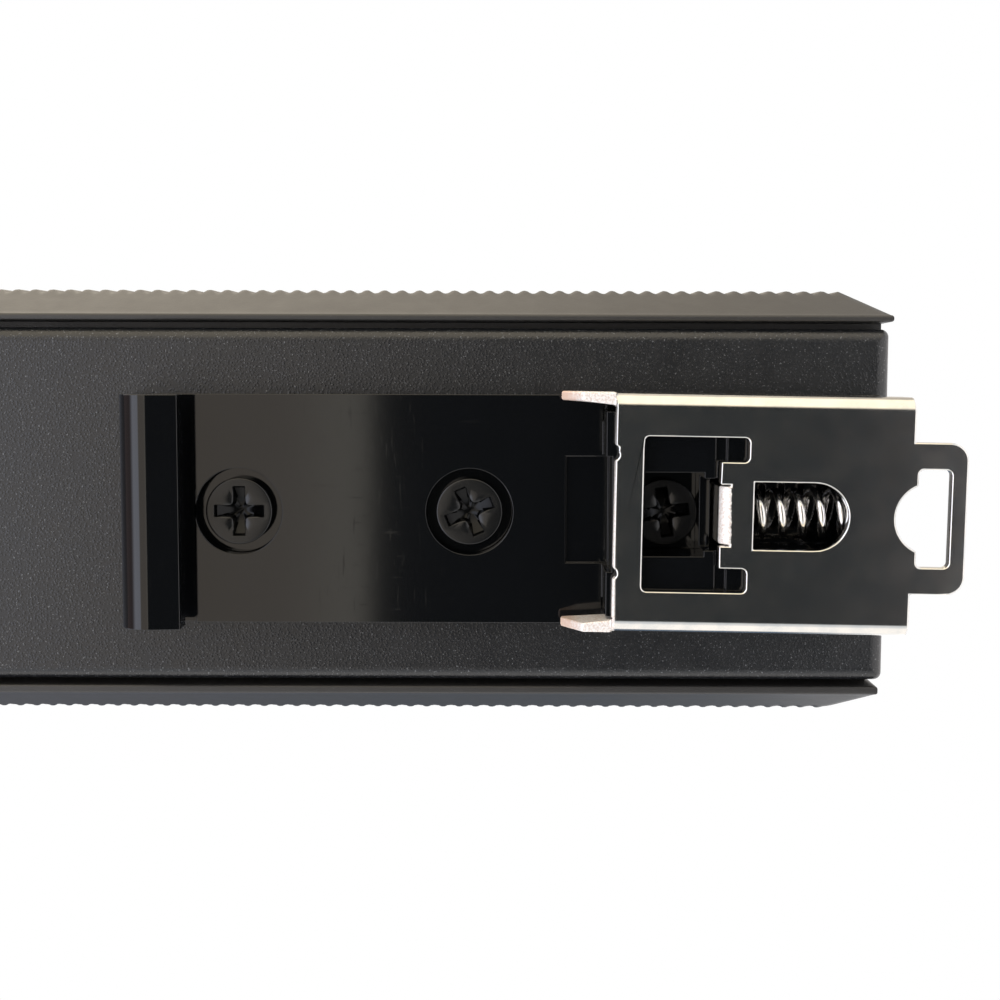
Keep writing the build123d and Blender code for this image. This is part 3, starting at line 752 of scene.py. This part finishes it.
@dataclass
class Case:
    """The folded case with its two ribbed side covers. A pair of values is for the left and right one."""

    width: float = 28.4
    rear: float = -2.9
    front: float = -86.9
    bottom: float = -40.7
    top: float = 69.3
    sheet: float = 1.0
    lip: float = 0.12
    bend: float = 1.1
    corner: float = 0.62
    least_corner: float = 0.02
    opening_gap: float = 0.2
    latch_slot: Span = (-12.1, -4.9)
    latch_depth: float = 3.0
    cut_reach: float = 2.0
    rim_gaps: Span = (0.5, 0.58)
    rims: Span = (0.7, 0.55)
    rim_round: float = 0.22
    rim_relief: Span = (2.5, 0.45)
    rim_setback: float = 0.4
    rim_step: float = 0.1
    overhang: float = 0.3
    lower_overhangs: Span = (-0.35, 0.3)
    rises: Span = (2.32, 2.13)
    slope: float = 5.6
    end_slope: float = 3.2
    over_slope: float = 1.08
    blend: float = 0.06
    rib_pitches: Span = (1.387, 1.46)
    rib_places: Span = (14.54, 14.59)
    rib_height: float = 0.3
    rib_samples: int = 10
    rib_sharp: float = 30.0
    slope_samples: int = 12

    def shell(self) -> bpy.types.Object:
        """Make the folded case: rounded rectangles from the rear over the bend, forward and back inside."""
        arc = np.linspace(0, np.pi / 2, 9)
        back = self.rear - self.bend * (1 - np.cos(arc))
        half_w, half_h = self.width / 2, (self.top - self.bottom) / 2
        lip, sheet, front = self.lip, self.sheet, self.front
        inset = np.concatenate([self.bend * (1 - np.sin(arc)), [0, lip, sheet - lip, sheet, sheet]])
        depth = np.concatenate([back, [front + lip, front, front, front + lip, self.rear - sheet]])
        radius = np.clip(self.corner - inset, self.least_corner, None)
        loops = rounded_loop(half_w - inset, half_h - inset, radius, 7)
        middle = (self.top + self.bottom) / 2
        deep = np.broadcast_to(depth[:, None], loops.shape[:2])
        rings = np.stack([loops[..., 0], deep, loops[..., 1] + middle], axis=-1)
        piece = loft(rings).piece("case_shell")
        low, high = (np.array(corner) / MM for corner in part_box("terminal_block"))
        gap, reach = self.opening_gap, self.cut_reach
        opening = (*(low[:2] - gap), self.top - reach), (*(high[:2] + gap), self.top + reach)
        left, right = self.latch_slot
        slots = [
            ((left, front - 1, end - reach), (right, front + self.latch_depth, end + reach))
            for end in (self.top, self.bottom)
        ]
        return smooth_by_angle(carve(piece, [opening, *slots]))

    def cover(self, flank: int, name: str) -> bpy.types.Object:
        """Make one side cover as a height field over its face, closed by its rim and its back.

        The height is the smaller of two: the slope that rises from the four edges, and a cosine wave
        along Z. The slopes from the ends are steeper than those from the long edges.

        Args:
            flank: 1 for the left cover and -1 for the right one.
            name: the piece's name.

        Returns:
            The new piece.
        """
        side = 0 if flank > 0 else 1
        rim_gap, rim = self.rim_gaps[side], self.rims[side]
        rise, pitch = self.rises[side], self.rib_pitches[side]
        rim_top = self.width / 2 + rim_gap + rim
        back, ahead = self.rear - self.rim_setback, self.front
        low, high = self.bottom - self.lower_overhangs[side], self.top + self.overhang
        climb = np.linspace(0, self.over_slope, self.slope_samples)
        rows = int(round((high - low - 2 * self.end_slope) / pitch * self.rib_samples))
        flat = self.slope * climb[-1]
        y = np.concatenate([
            back - self.slope * climb,
            np.linspace(back - flat, ahead + flat, 8)[1:-1],
            ahead + self.slope * climb[::-1],
        ])
        ends = self.end_slope * climb
        ribbed = np.linspace(low + ends[-1], high - ends[-1], rows)[1:-1]
        z = np.concatenate([low + ends, ribbed, high - ends[::-1]])
        across, along = np.meshgrid(y, z, indexing="ij")
        from_edge = np.minimum(back - across, across - ahead)
        from_end = np.minimum(along - low, high - along)
        bevel = rise * np.minimum(from_edge / self.slope, from_end / self.end_slope)
        middle = (low + high) / 2
        phase = 2 * np.pi * (along - self.rib_places[side]) / pitch
        wave = rise - self.rib_height * (0.5 - 0.5 * np.cos(phase))
        near = np.clip(0.5 + 0.5 * (wave - bevel) / self.blend, 0, 1)
        height = wave + (bevel - wave) * near - self.blend * near * (1 - near)
        height[0], height[-1], height[:, 0], height[:, -1] = 0, 0, 0, 0
        points = np.stack([flank * (rim_top + height), across, along], axis=-1)
        numbers = np.arange(across.size).reshape(across.shape)
        corners = [numbers[:-1, :-1], numbers[1:, :-1], numbers[1:, 1:], numbers[:-1, 1:]]
        quads = np.stack(corners, axis=-1).reshape(-1, 4).tolist()
        border = np.concatenate([points[:-1, 0], points[-1, :-1], points[:0:-1, -1], points[0, :0:-1]])
        centre = np.array([0, (back + ahead) / 2, middle])
        half = np.array([1, (back - ahead) / 2, (high - low) / 2])
        arc = np.linspace(0, np.pi / 2, 5)
        turned = self.rim_round
        behind = [rim + self.rim_step, rim + rim_gap]
        drop = np.concatenate([turned * (1 - np.cos(arc)), rim - turned * (1 - np.sin(arc)), behind])
        relief = np.array(self.rim_relief)
        bulge = np.concatenate([turned * np.sin(arc), turned * np.cos(arc)])[:, None] + np.zeros(2)
        grow = np.concatenate([bulge, [turned - relief, turned - relief]])
        shrunk = (half[1:] - turned) / half[1:]
        relative = (border - centre)[None] / half
        spread = (half[1:] - turned + grow)[:, None, :]
        skirt = np.empty((len(drop), len(border), 3))
        skirt[..., 0] = flank * (rim_top - drop[:, None])
        skirt[..., 1:] = centre[1:] + relative[..., 1:] * spread
        points[..., 1:] = centre[1:] + (points[..., 1:] - centre[1:]) * shrunk
        face = Shape(points.reshape(-1, 3), quads)
        whole = face.joined(loft(skirt, start_cap=False))
        return smooth_by_angle(whole.piece(name), self.rib_sharp)

    def build(self) -> None:
        """Make and dress the case and its covers."""
        settle(self.shell(), Finishes.CASE_PAINT, "chassis")
        for flank, node in ((1, "side_cover_left"), (-1, "side_cover_right")):
            settle(self.cover(flank, f"ribbed_{node}"), Finishes.COVER_COAT, node)


@dataclass
class CrossScrew:
    """A pan-head screw with a cross recess, turned round its axis."""

    head_radius: float = 2.62
    head_height: float = 1.5
    edge: float = 0.14
    under_edge: float = 0.06
    shank_radius: float = 1.45
    reach: float = 5.0
    arm_length: float = 1.92
    arm_width: float = 0.45
    mouth_edge: float = 0.05
    wall_share: float = 0.94
    floor_shares: Span = (0.5, 0.8)
    tip_share: float = 0.4
    recess_depth: float = 1.25
    wall_depth: float = 0.5
    tip_depth: float = 1.15
    fillet: float = 2.8
    around: int = 120
    sharp: float = 40.0

    def outline(self, length: float, width: float, angles: np.ndarray) -> np.ndarray:
        """Return the cross's radius at each angle: two bars at right angles, joined by fillets.

        The two bars' radii are added as powers, so that the larger rules and their corners are filled.
        """
        tiny = 1e-6
        cosine, sine = np.abs(np.cos(angles)) + tiny, np.abs(np.sin(angles)) + tiny
        upright = np.minimum(length / cosine, width / sine)
        level = np.minimum(length / sine, width / cosine)
        return (upright**self.fillet + level**self.fillet) ** (1 / self.fillet)

    def shape(self, stand: Stand, turn: float) -> Shape:
        """Make the screw as rings round its axis, from the shank's end over the head and into the recess.

        Args:
            stand: where the head's underside is.
            turn: the turn of the cross, in degrees.

        Returns:
            The closed shape.
        """
        corner = np.arctan2(self.arm_width, self.arm_length)
        marks = np.add.outer(np.arange(4) * np.pi / 2, [corner, np.pi / 4, np.pi / 2 - corner]).ravel()
        even = np.linspace(0, 2 * np.pi, self.around, endpoint=False)
        angles = np.unique(np.round(np.concatenate([even, marks]), 5))
        top = self.head_height
        edge = np.linspace(0, np.pi / 2, 7)
        outer = np.concatenate([
            [self.shank_radius, self.shank_radius, self.head_radius - self.under_edge],
            self.head_radius - self.edge * (1 - np.cos(edge)),
        ])
        height = np.concatenate([[-self.reach, 0, 0], top - self.edge * (1 - np.sin(edge))])
        lathe = np.broadcast_to(outer[:, None], (len(outer), len(angles)))
        levels = np.broadcast_to(height[:, None], lathe.shape)
        arm = np.array([self.arm_length, self.arm_width])
        rounding = self.outline(*(arm + self.mouth_edge), angles)
        wall = self.outline(*(arm * self.wall_share), angles)
        floor = self.outline(*(arm * self.floor_shares), angles)
        middle_ring = (rounding + outer[-1]) / 2
        mouth = self.outline(*arm, angles)
        inside = np.stack([middle_ring, rounding, mouth, wall, floor, floor * self.tip_share])
        sunk = self.recess_depth * np.array([self.wall_depth, 1, self.tip_depth])
        drops = top - np.concatenate([[0, 0, self.mouth_edge], sunk])
        radii = np.concatenate([lathe, inside])
        levels = np.concatenate([levels, np.broadcast_to(drops[:, None], inside.shape)])
        swung = angles + np.radians(turn)
        local = np.stack([radii * np.cos(swung), radii * np.sin(swung), levels], axis=-1)
        return loft(stand.world(local.reshape(-1, 3)).reshape(local.shape))


@dataclass
class Bracket:
    """The rail bracket with its three screws."""

    edge: float = 0.07
    hook_top: float = 4.0
    hook_slope: float = 0.13
    hook_flat: Span = (14.5, 17.1)
    crown_reach: float = 0.01
    lip_depth: float = 0.5
    lip_end: float = 1.0
    screw_x: float = 0.2
    screw_seat: float = -1.6
    screw_places: tuple[Span, ...] = ((10.9, 0.0), (-7.2, 23.0), (-22.5, 8.0))

    def sloped_hook(self, points: np.ndarray) -> np.ndarray:
        """Let the hook's flat top fall to its lip: the height is the top less slope times distance."""
        low, high = self.hook_flat
        height, along = points[:, 1], points[:, 2]
        along[(height > self.hook_top - self.crown_reach) & (along > high)] = high
        lip = (height > self.hook_top - self.lip_depth) & (along > low) & (along < high - self.lip_end)
        height[lip] = self.hook_top - self.hook_slope * (high - along[lip])
        return points

    def build(self) -> None:
        """Make and dress the bracket and its screws."""
        bracket = node_copy("rail_bracket", "moulded_rail_bracket", self.edge, self.sloped_hook)
        settle(bracket, Finishes.BRACKET_PLASTIC)
        shapes = [
            CrossScrew().shape(Stand((self.screw_x, self.screw_seat, height), (-1, 0, 0), (0, 1, 0)), turn)
            for height, turn in self.screw_places
        ]
        screws = shapes[0].joined(shapes[1]).joined(shapes[2]).piece("cross_recess_screws")
        settle(smooth_by_angle(screws, CrossScrew.sharp), Finishes.BLACK_SCREW, "bracket_screws")


@dataclass
class ReleaseClip:
    """The plated release clip and the coil spring that pushes it up."""

    edge: float = 0.15
    bend_zone: Zone = ((-1.0, 2.75), (3.85, 9.0), (-27.5, -26.05))
    tighter: float = 0.66
    relief_zone: Zone = ((2.45, 2.85), (3.0, 9.0), (-28.0, -24.0))
    relief_cut: float = 0.33
    slot_zone: Zone = ((3.8, 6.1), (4.1, 9.0), (-28.8, -27.95))
    slot_cut: float = 0.27
    notch_zone: Zone = ((3.61, 5.11), (4.1, 9.0), (-18.9, -17.5))
    notch_middle: float = 4.36
    notch_scale: float = 0.68
    web_edge: float = -18.19
    edge_slope: float = 0.0156
    nose_zone: Zone = ((7.0, 8.45), (-9.0, 9.0), (-17.0, 0.0))
    nose_thinned: float = 0.26
    coil_radius: float = 1.65
    wire_radius: float = 0.33
    turns: float = 7.3
    phase: float = -0.423
    foot: float = -38.15
    start: float = -37.9
    end: float = -27.45
    axis_y: float = 1.75
    travel: float = 3.5
    flat_turns: float = 0.5
    flat_pace: float = 0.35
    steps: int = 40
    wire_sides: int = 12
    wire_sharp: float = 50.0

    def spring(self) -> bpy.types.Object:
        """Make the spring: a circle carried along a helix, whose first and last half turns lie flat."""
        share = np.linspace(0, 1, int(self.turns * self.steps) + 1)
        angle = 2 * np.pi * (self.turns * share + self.phase)
        calm = self.flat_turns / self.turns
        pace = np.clip(np.minimum(share, 1 - share) / calm, self.flat_pace, 1.0)
        climb = np.concatenate([[0], np.cumsum((pace[1:] + pace[:-1]) / 2)])
        z = self.start + (self.end - self.start) * climb / climb[-1]
        radial = np.stack([np.cos(angle), np.sin(angle), np.zeros_like(angle)], axis=-1)
        axis = np.stack([np.zeros_like(z), np.full_like(z, self.axis_y), z], axis=-1)
        path = radial * self.coil_radius + axis
        tangent = np.gradient(path, axis=0)
        tangent /= np.linalg.norm(tangent, axis=1, keepdims=True)
        binormal = np.cross(tangent, radial)
        turn = np.linspace(0, 2 * np.pi, self.wire_sides, endpoint=False)[None, :, None]
        circle = np.cos(turn) * radial[:, None] + np.sin(turn) * binormal[:, None]
        rings = path[:, None] + self.wire_radius * circle
        return smooth_by_angle(loft(rings).piece("coil_spring"), self.wire_sharp)

    def trimmed(self, points: np.ndarray) -> np.ndarray:
        """Fit the sheet's small forms: the tongue's bend and side notches, slots, edge notches and noses.

        A point of the bend keeps its height, and its distance from the tongue's front is multiplied. A
        notch's points move towards its middle on the edge, which climbs with x by the edge's slope.
        """
        front = self.bend_zone[2][1]
        bend = in_zone(points, self.bend_zone)
        points[bend, 2] = front + (points[bend, 2] - front) * self.tighter
        wall = in_zone(points, self.relief_zone)
        points[wall, 0] -= np.sign(points[wall, 0]) * self.relief_cut
        points[in_zone(points, self.slot_zone), 2] += self.slot_cut
        notch = in_zone(points, self.notch_zone)
        edge = self.web_edge + self.edge_slope * points[notch, 0]
        middle = np.column_stack([np.sign(points[notch, 0]) * self.notch_middle, edge])
        plan = np.ix_(notch, [0, 2])
        points[plan] = middle + (points[plan] - middle) * self.notch_scale
        nose = in_zone(points, self.nose_zone)
        points[nose, 0] += np.sign(points[nose, 0]) * self.nose_thinned
        left = (points[:, 0] > self.nose_zone[0][0]) & (points[:, 2] > self.nose_zone[2][0])
        points[left, 2] -= self.nose_thinned
        return points

    def build(self) -> None:
        """Make and dress the clip and its spring."""
        clip = node_copy("release_clip", "plated_release_clip", self.edge, self.trimmed)
        settle(clip, Finishes.NICKEL_PLATE, body="clip")
        spring = self.spring()
        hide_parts("clip_spring")
        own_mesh(spring)
        settle(spring, Finishes.SPRING_STEEL)


@dataclass
class PortFace:
    """The front panel and its five ports."""

    port_count: int = 5
    panel_edge: float = 0.18
    shell_edge: float = 0.07
    insert_edge: float = 0.1

    def build(self) -> None:
        """Make and dress the panel, the shells, the inserts and the contacts."""
        settle(node_copy("front_panel", "moulded_front_panel", self.panel_edge), Finishes.PANEL_PLASTIC)
        for number in range(1, self.port_count + 1):
            shell = node_copy(f"jack_shell_{number}", f"port_shell_{number}", self.shell_edge)
            settle(shell, Finishes.TIN_PLATE)
            insert = node_copy(f"jack_insert_{number}", f"port_insert_{number}", self.insert_edge)
            settle(insert, Finishes.INSERT_PLASTIC)
            dress_nodes(Finishes.CONTACT_GOLD, f"jack_contacts_{number}")
        dress_nodes(Finishes.CLEAR_PLASTIC, "light_bar")
        dress_nodes(Finishes.LIGHT_BODY, "status_lights")


@dataclass
class PowerInput:
    """The power terminals and the ground screw on the top end."""

    top: float = 69.3
    block_edge: float = 0.15
    ground_y: float = -16.0
    ground_reach: float = 4.0
    ground_turn: float = 31.0

    def build(self) -> None:
        """Make and dress the terminal block and the screws."""
        block = node_copy("terminal_block", "moulded_terminal_block", self.block_edge)
        settle(block, Finishes.TERMINAL_PLASTIC)
        stand = Stand((0, self.ground_y, self.top), (1, 0, 0), (0, 0, 1))
        screw = CrossScrew(reach=self.ground_reach).shape(stand, self.ground_turn)
        ground = smooth_by_angle(screw.piece("ground_cross_screw"), CrossScrew.sharp)
        settle(ground, Finishes.ZINC_PLATE, "ground_screw")
        dress_nodes(Finishes.ZINC_PLATE, "terminal_clamps", "terminal_screws")


@dataclass
class Inside:
    """The circuit board and what stands on it."""

    def build(self) -> None:
        """Dress the board and its parts."""
        dress_nodes(Finishes.BOARD_LAMINATE, "main_board")
        dress_nodes(Finishes.LIGHT_BODY, "board_supports")
        dress_nodes(Finishes.CHIP_BODY, "switch_chip", "transformer_1", "transformer_2", "transformer_3")
        dress_nodes(Finishes.CAPACITOR_SLEEVE, "input_capacitor_1", "input_capacitor_2")
        dress_nodes(Finishes.FERRITE, "input_choke", "regulator_coil")


# Light, floor and camera


@dataclass(frozen=True)
class SoftLamp:
    """A soft lamp that points at the switch."""

    name: str
    place: Point
    size: float
    power: float
    colour: Colour = (1.0, 1.0, 1.0)

    def build(self, target: Vector) -> None:
        """Make the lamp, aimed at the target."""
        light = bpy.data.lights.new(self.name, "AREA")
        light.shape = "SQUARE"
        light.size = self.size
        light.energy = self.power
        light.color = self.colour
        lamp = link(bpy.data.objects.new(self.name, light))
        place = Vector(self.place)
        lamp.location = place
        lamp.rotation_euler = (target - place).to_track_quat("-Z", "Y").to_euler()
        lamp.visible_glossy = False


@dataclass(frozen=True)
class Room:
    """The room that the switch's shiny faces show, as colours by direction."""

    dark: Colour = (0.03, 0.033, 0.035)
    low_dark: Colour = (0.055, 0.052, 0.054)
    low_span: Span = (0.18, 0.3)
    brown: Colour = (1.1, 0.98, 0.85)
    edge_brown: Colour = (1.5, 1.42, 1.25)
    edge_height: float = 0.081
    edge_blur: float = 0.004
    edge_width: float = 0.06
    pale: Colour = (2.2, 2.28, 2.6)
    pale_span: Span = (0.35, 0.48)
    ceiling: Colour = (0.35, 0.26, 0.25)
    ceiling_span: Span = (0.8, 0.95)
    warm: Colour = (1.75, 1.55, 1.22)
    warm_span: Span = (0.45, 0.7)
    cool: Pair = ((0.88, 0.9, 0.93), (1.36, 1.31, 1.27))
    cool_span: Span = (0.5, 0.7)
    far_span: Span = (0.75, 0.9)
    above: Pair = ((0.62, 0.56, 0.48), (1.85, 1.66, 1.38))
    shade: Pair = ((0.125, 0.17, 0.235), (0.23, 0.25, 0.31))
    shade_span: Span = (0.0, 0.3)
    below: Colour = (1.5, 1.48, 1.48)
    below_span: Span = (0.17, 0.24)
    side_span: Span = (-0.3, 0.3)
    ahead_span: Span = (-0.5, -0.3)

    def colour(self, bench: Bench) -> Signal:
        """Return the room's colour by direction.

        Towards the camera it is dark below an edge, brown above it and pale higher up. It is bright and
        warm to the camera's upper side, paler to its lower side, and behind the switch it is warm above
        and cool below.
        """
        x, y, z = bench.parts(bench.add("ShaderNodeTexCoord", {}, {}, "Generated"))
        edge = self.edge_height
        brown = bench.mix(bench.step(z, edge, edge + self.edge_width), self.edge_brown, self.brown)
        brown = bench.mix(bench.step(z, *self.pale_span), brown, self.pale)
        brown = bench.mix(bench.step(z, *self.ceiling_span), brown, self.ceiling)
        dark = bench.mix(bench.step(0.0 - z, *self.low_span), self.dark, self.low_dark)
        raised = bench.step(z, edge - self.edge_blur, edge + self.edge_blur)
        ahead = bench.mix(raised, dark, brown)
        ahead = bench.mix(bench.step(0.0 - x, *self.warm_span), ahead, self.warm)
        cool = bench.mix(bench.step(x, *self.far_span), *self.cool)
        ahead = bench.mix(bench.step(x, *self.cool_span), ahead, cool)
        above = bench.mix(bench.step(z, *self.side_span), *self.above)
        shade = bench.mix(bench.step(z, *self.shade_span), *self.shade)
        below = bench.mix(bench.step(0.0 - z, *self.below_span), shade, self.below)
        behind = bench.mix(bench.step(x, *self.side_span), above, below)
        return bench.mix(bench.step(y, *self.ahead_span), behind, ahead)


@dataclass
class Studio:
    """A white studio that is dark behind the camera, with soft lamps, a pale floor and the camera."""

    target: Point = (-0.73, 0.0, -9.6)
    tilt: float = 4.95
    roll: float = 0.15
    distance: float = 125.0
    focal_pixels: float = 1594.0
    picture: float = 1000.0
    sensor: float = 36.0
    nearest: float = 0.01
    floor_drop: float = 0.15
    floor_side: float = 420.0
    floor_corner: float = 200.0
    floor_grey: float = 0.86
    floor_fade: Span = (0.03, 0.15)
    lamps: tuple[SoftLamp, ...] = (
        SoftLamp("overhead_box", (0.0, 0.1, 0.5), 0.35, 1.2),
        SoftLamp("rim_box", (-0.4, -0.25, 0.05), 0.3, 0.8, (1.0, 0.92, 0.8)),
        SoftLamp("fill_box", (0.4, 0.15, 0.1), 0.3, 0.3, (0.85, 0.93, 1.0)),
    )

    def world(self) -> None:
        """Make the world: white to the camera, and a room to the object."""
        world = bpy.data.worlds.new("studio")
        bpy.context.scene.world = world
        world.use_nodes = True
        bench = Bench(world.node_tree)
        path = bench.add("ShaderNodeLightPath", {}, {}, "Is Camera Ray")
        seen = path + Signal(bench, path.socket.node.outputs["Is Transmission Ray"])
        white = bench.add("ShaderNodeBackground", {}, {"Color": (1.0, 1.0, 1.0), "Strength": 1.0})
        shade = bench.add("ShaderNodeBackground", {}, {"Color": Room().colour(bench), "Strength": 1.0})
        both = bench.add("ShaderNodeMixShader", {}, {0: seen, 1: shade, 2: white})
        bench.add("ShaderNodeOutputWorld", {}, {"Surface": both})

    def floor(self) -> None:
        """Make the pale floor, which fades to white at its edge so that no edge shows."""
        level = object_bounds()[0][2] - self.floor_drop
        side = np.array([self.floor_side])
        loop = rounded_loop(side, side, np.array([self.floor_corner]), 12)[0]
        points = np.column_stack([loop, np.full(len(loop), level / MM)])
        plane = Shape(points, [list(range(len(loop)))]).piece("pale_floor", outward=False)
        made = bpy.data.materials.new("pale_floor")
        made.use_nodes = True
        bench = Bench(made.node_tree)
        x, y, _ = bench.parts(bench.place())
        away = bench.step(x * x + y * y, *self.floor_fade)
        paint = bench.add("ShaderNodeBsdfDiffuse", {}, {"Color": (self.floor_grey,) * 3})
        glow = bench.add("ShaderNodeEmission", {}, {"Color": (1.0, 1.0, 1.0), "Strength": 1.0})
        both = bench.add("ShaderNodeMixShader", {}, {0: away, 1: paint, 2: glow})
        bench.add("ShaderNodeOutputMaterial", {}, {"Surface": both})
        plane.data.materials.append(made)
        plane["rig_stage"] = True

    def camera(self) -> None:
        """Make the camera at the photograph's place: the rail side, with the switch's top to the left."""
        tilt, roll = np.radians(self.tilt), np.radians(self.roll)
        back = np.array([-np.sin(tilt), np.cos(tilt), 0.0])
        right = np.array([0.0, 0.0, -1.0])
        up = np.cross(back, right)
        turned_right = np.cos(roll) * right + np.sin(roll) * up
        turned_up = np.cos(roll) * up - np.sin(roll) * right
        place = (np.array(self.target) + self.distance * back) * MM
        lens = bpy.data.cameras.new("camera")
        lens.sensor_width = self.sensor
        lens.lens = self.focal_pixels / self.picture * self.sensor
        lens.clip_start = self.nearest
        eye = link(bpy.data.objects.new("camera", lens))
        turn = Matrix(np.column_stack([turned_right, turned_up, back]).tolist()).to_4x4()
        eye.matrix_world = Matrix.Translation(Vector(place)) @ turn
        bpy.context.scene.camera = eye

    def build(self) -> None:
        """Make the world, lamps, floor and camera."""
        bpy.context.scene.view_settings.view_transform = "Standard"
        self.world()
        for lamp in self.lamps:
            lamp.build(Vector(self.target) * MM)
        self.floor()
        self.camera()


def main() -> None:
    """Build the sub-assemblies and the studio."""
    logging.basicConfig(level=logging.INFO, format="%(message)s")
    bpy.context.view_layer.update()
    for assembly in (Case(), Bracket(), ReleaseClip(), PortFace(), PowerInput(), Inside(), Studio()):
        assembly.build()


if __name__ == "__main__":
    main()
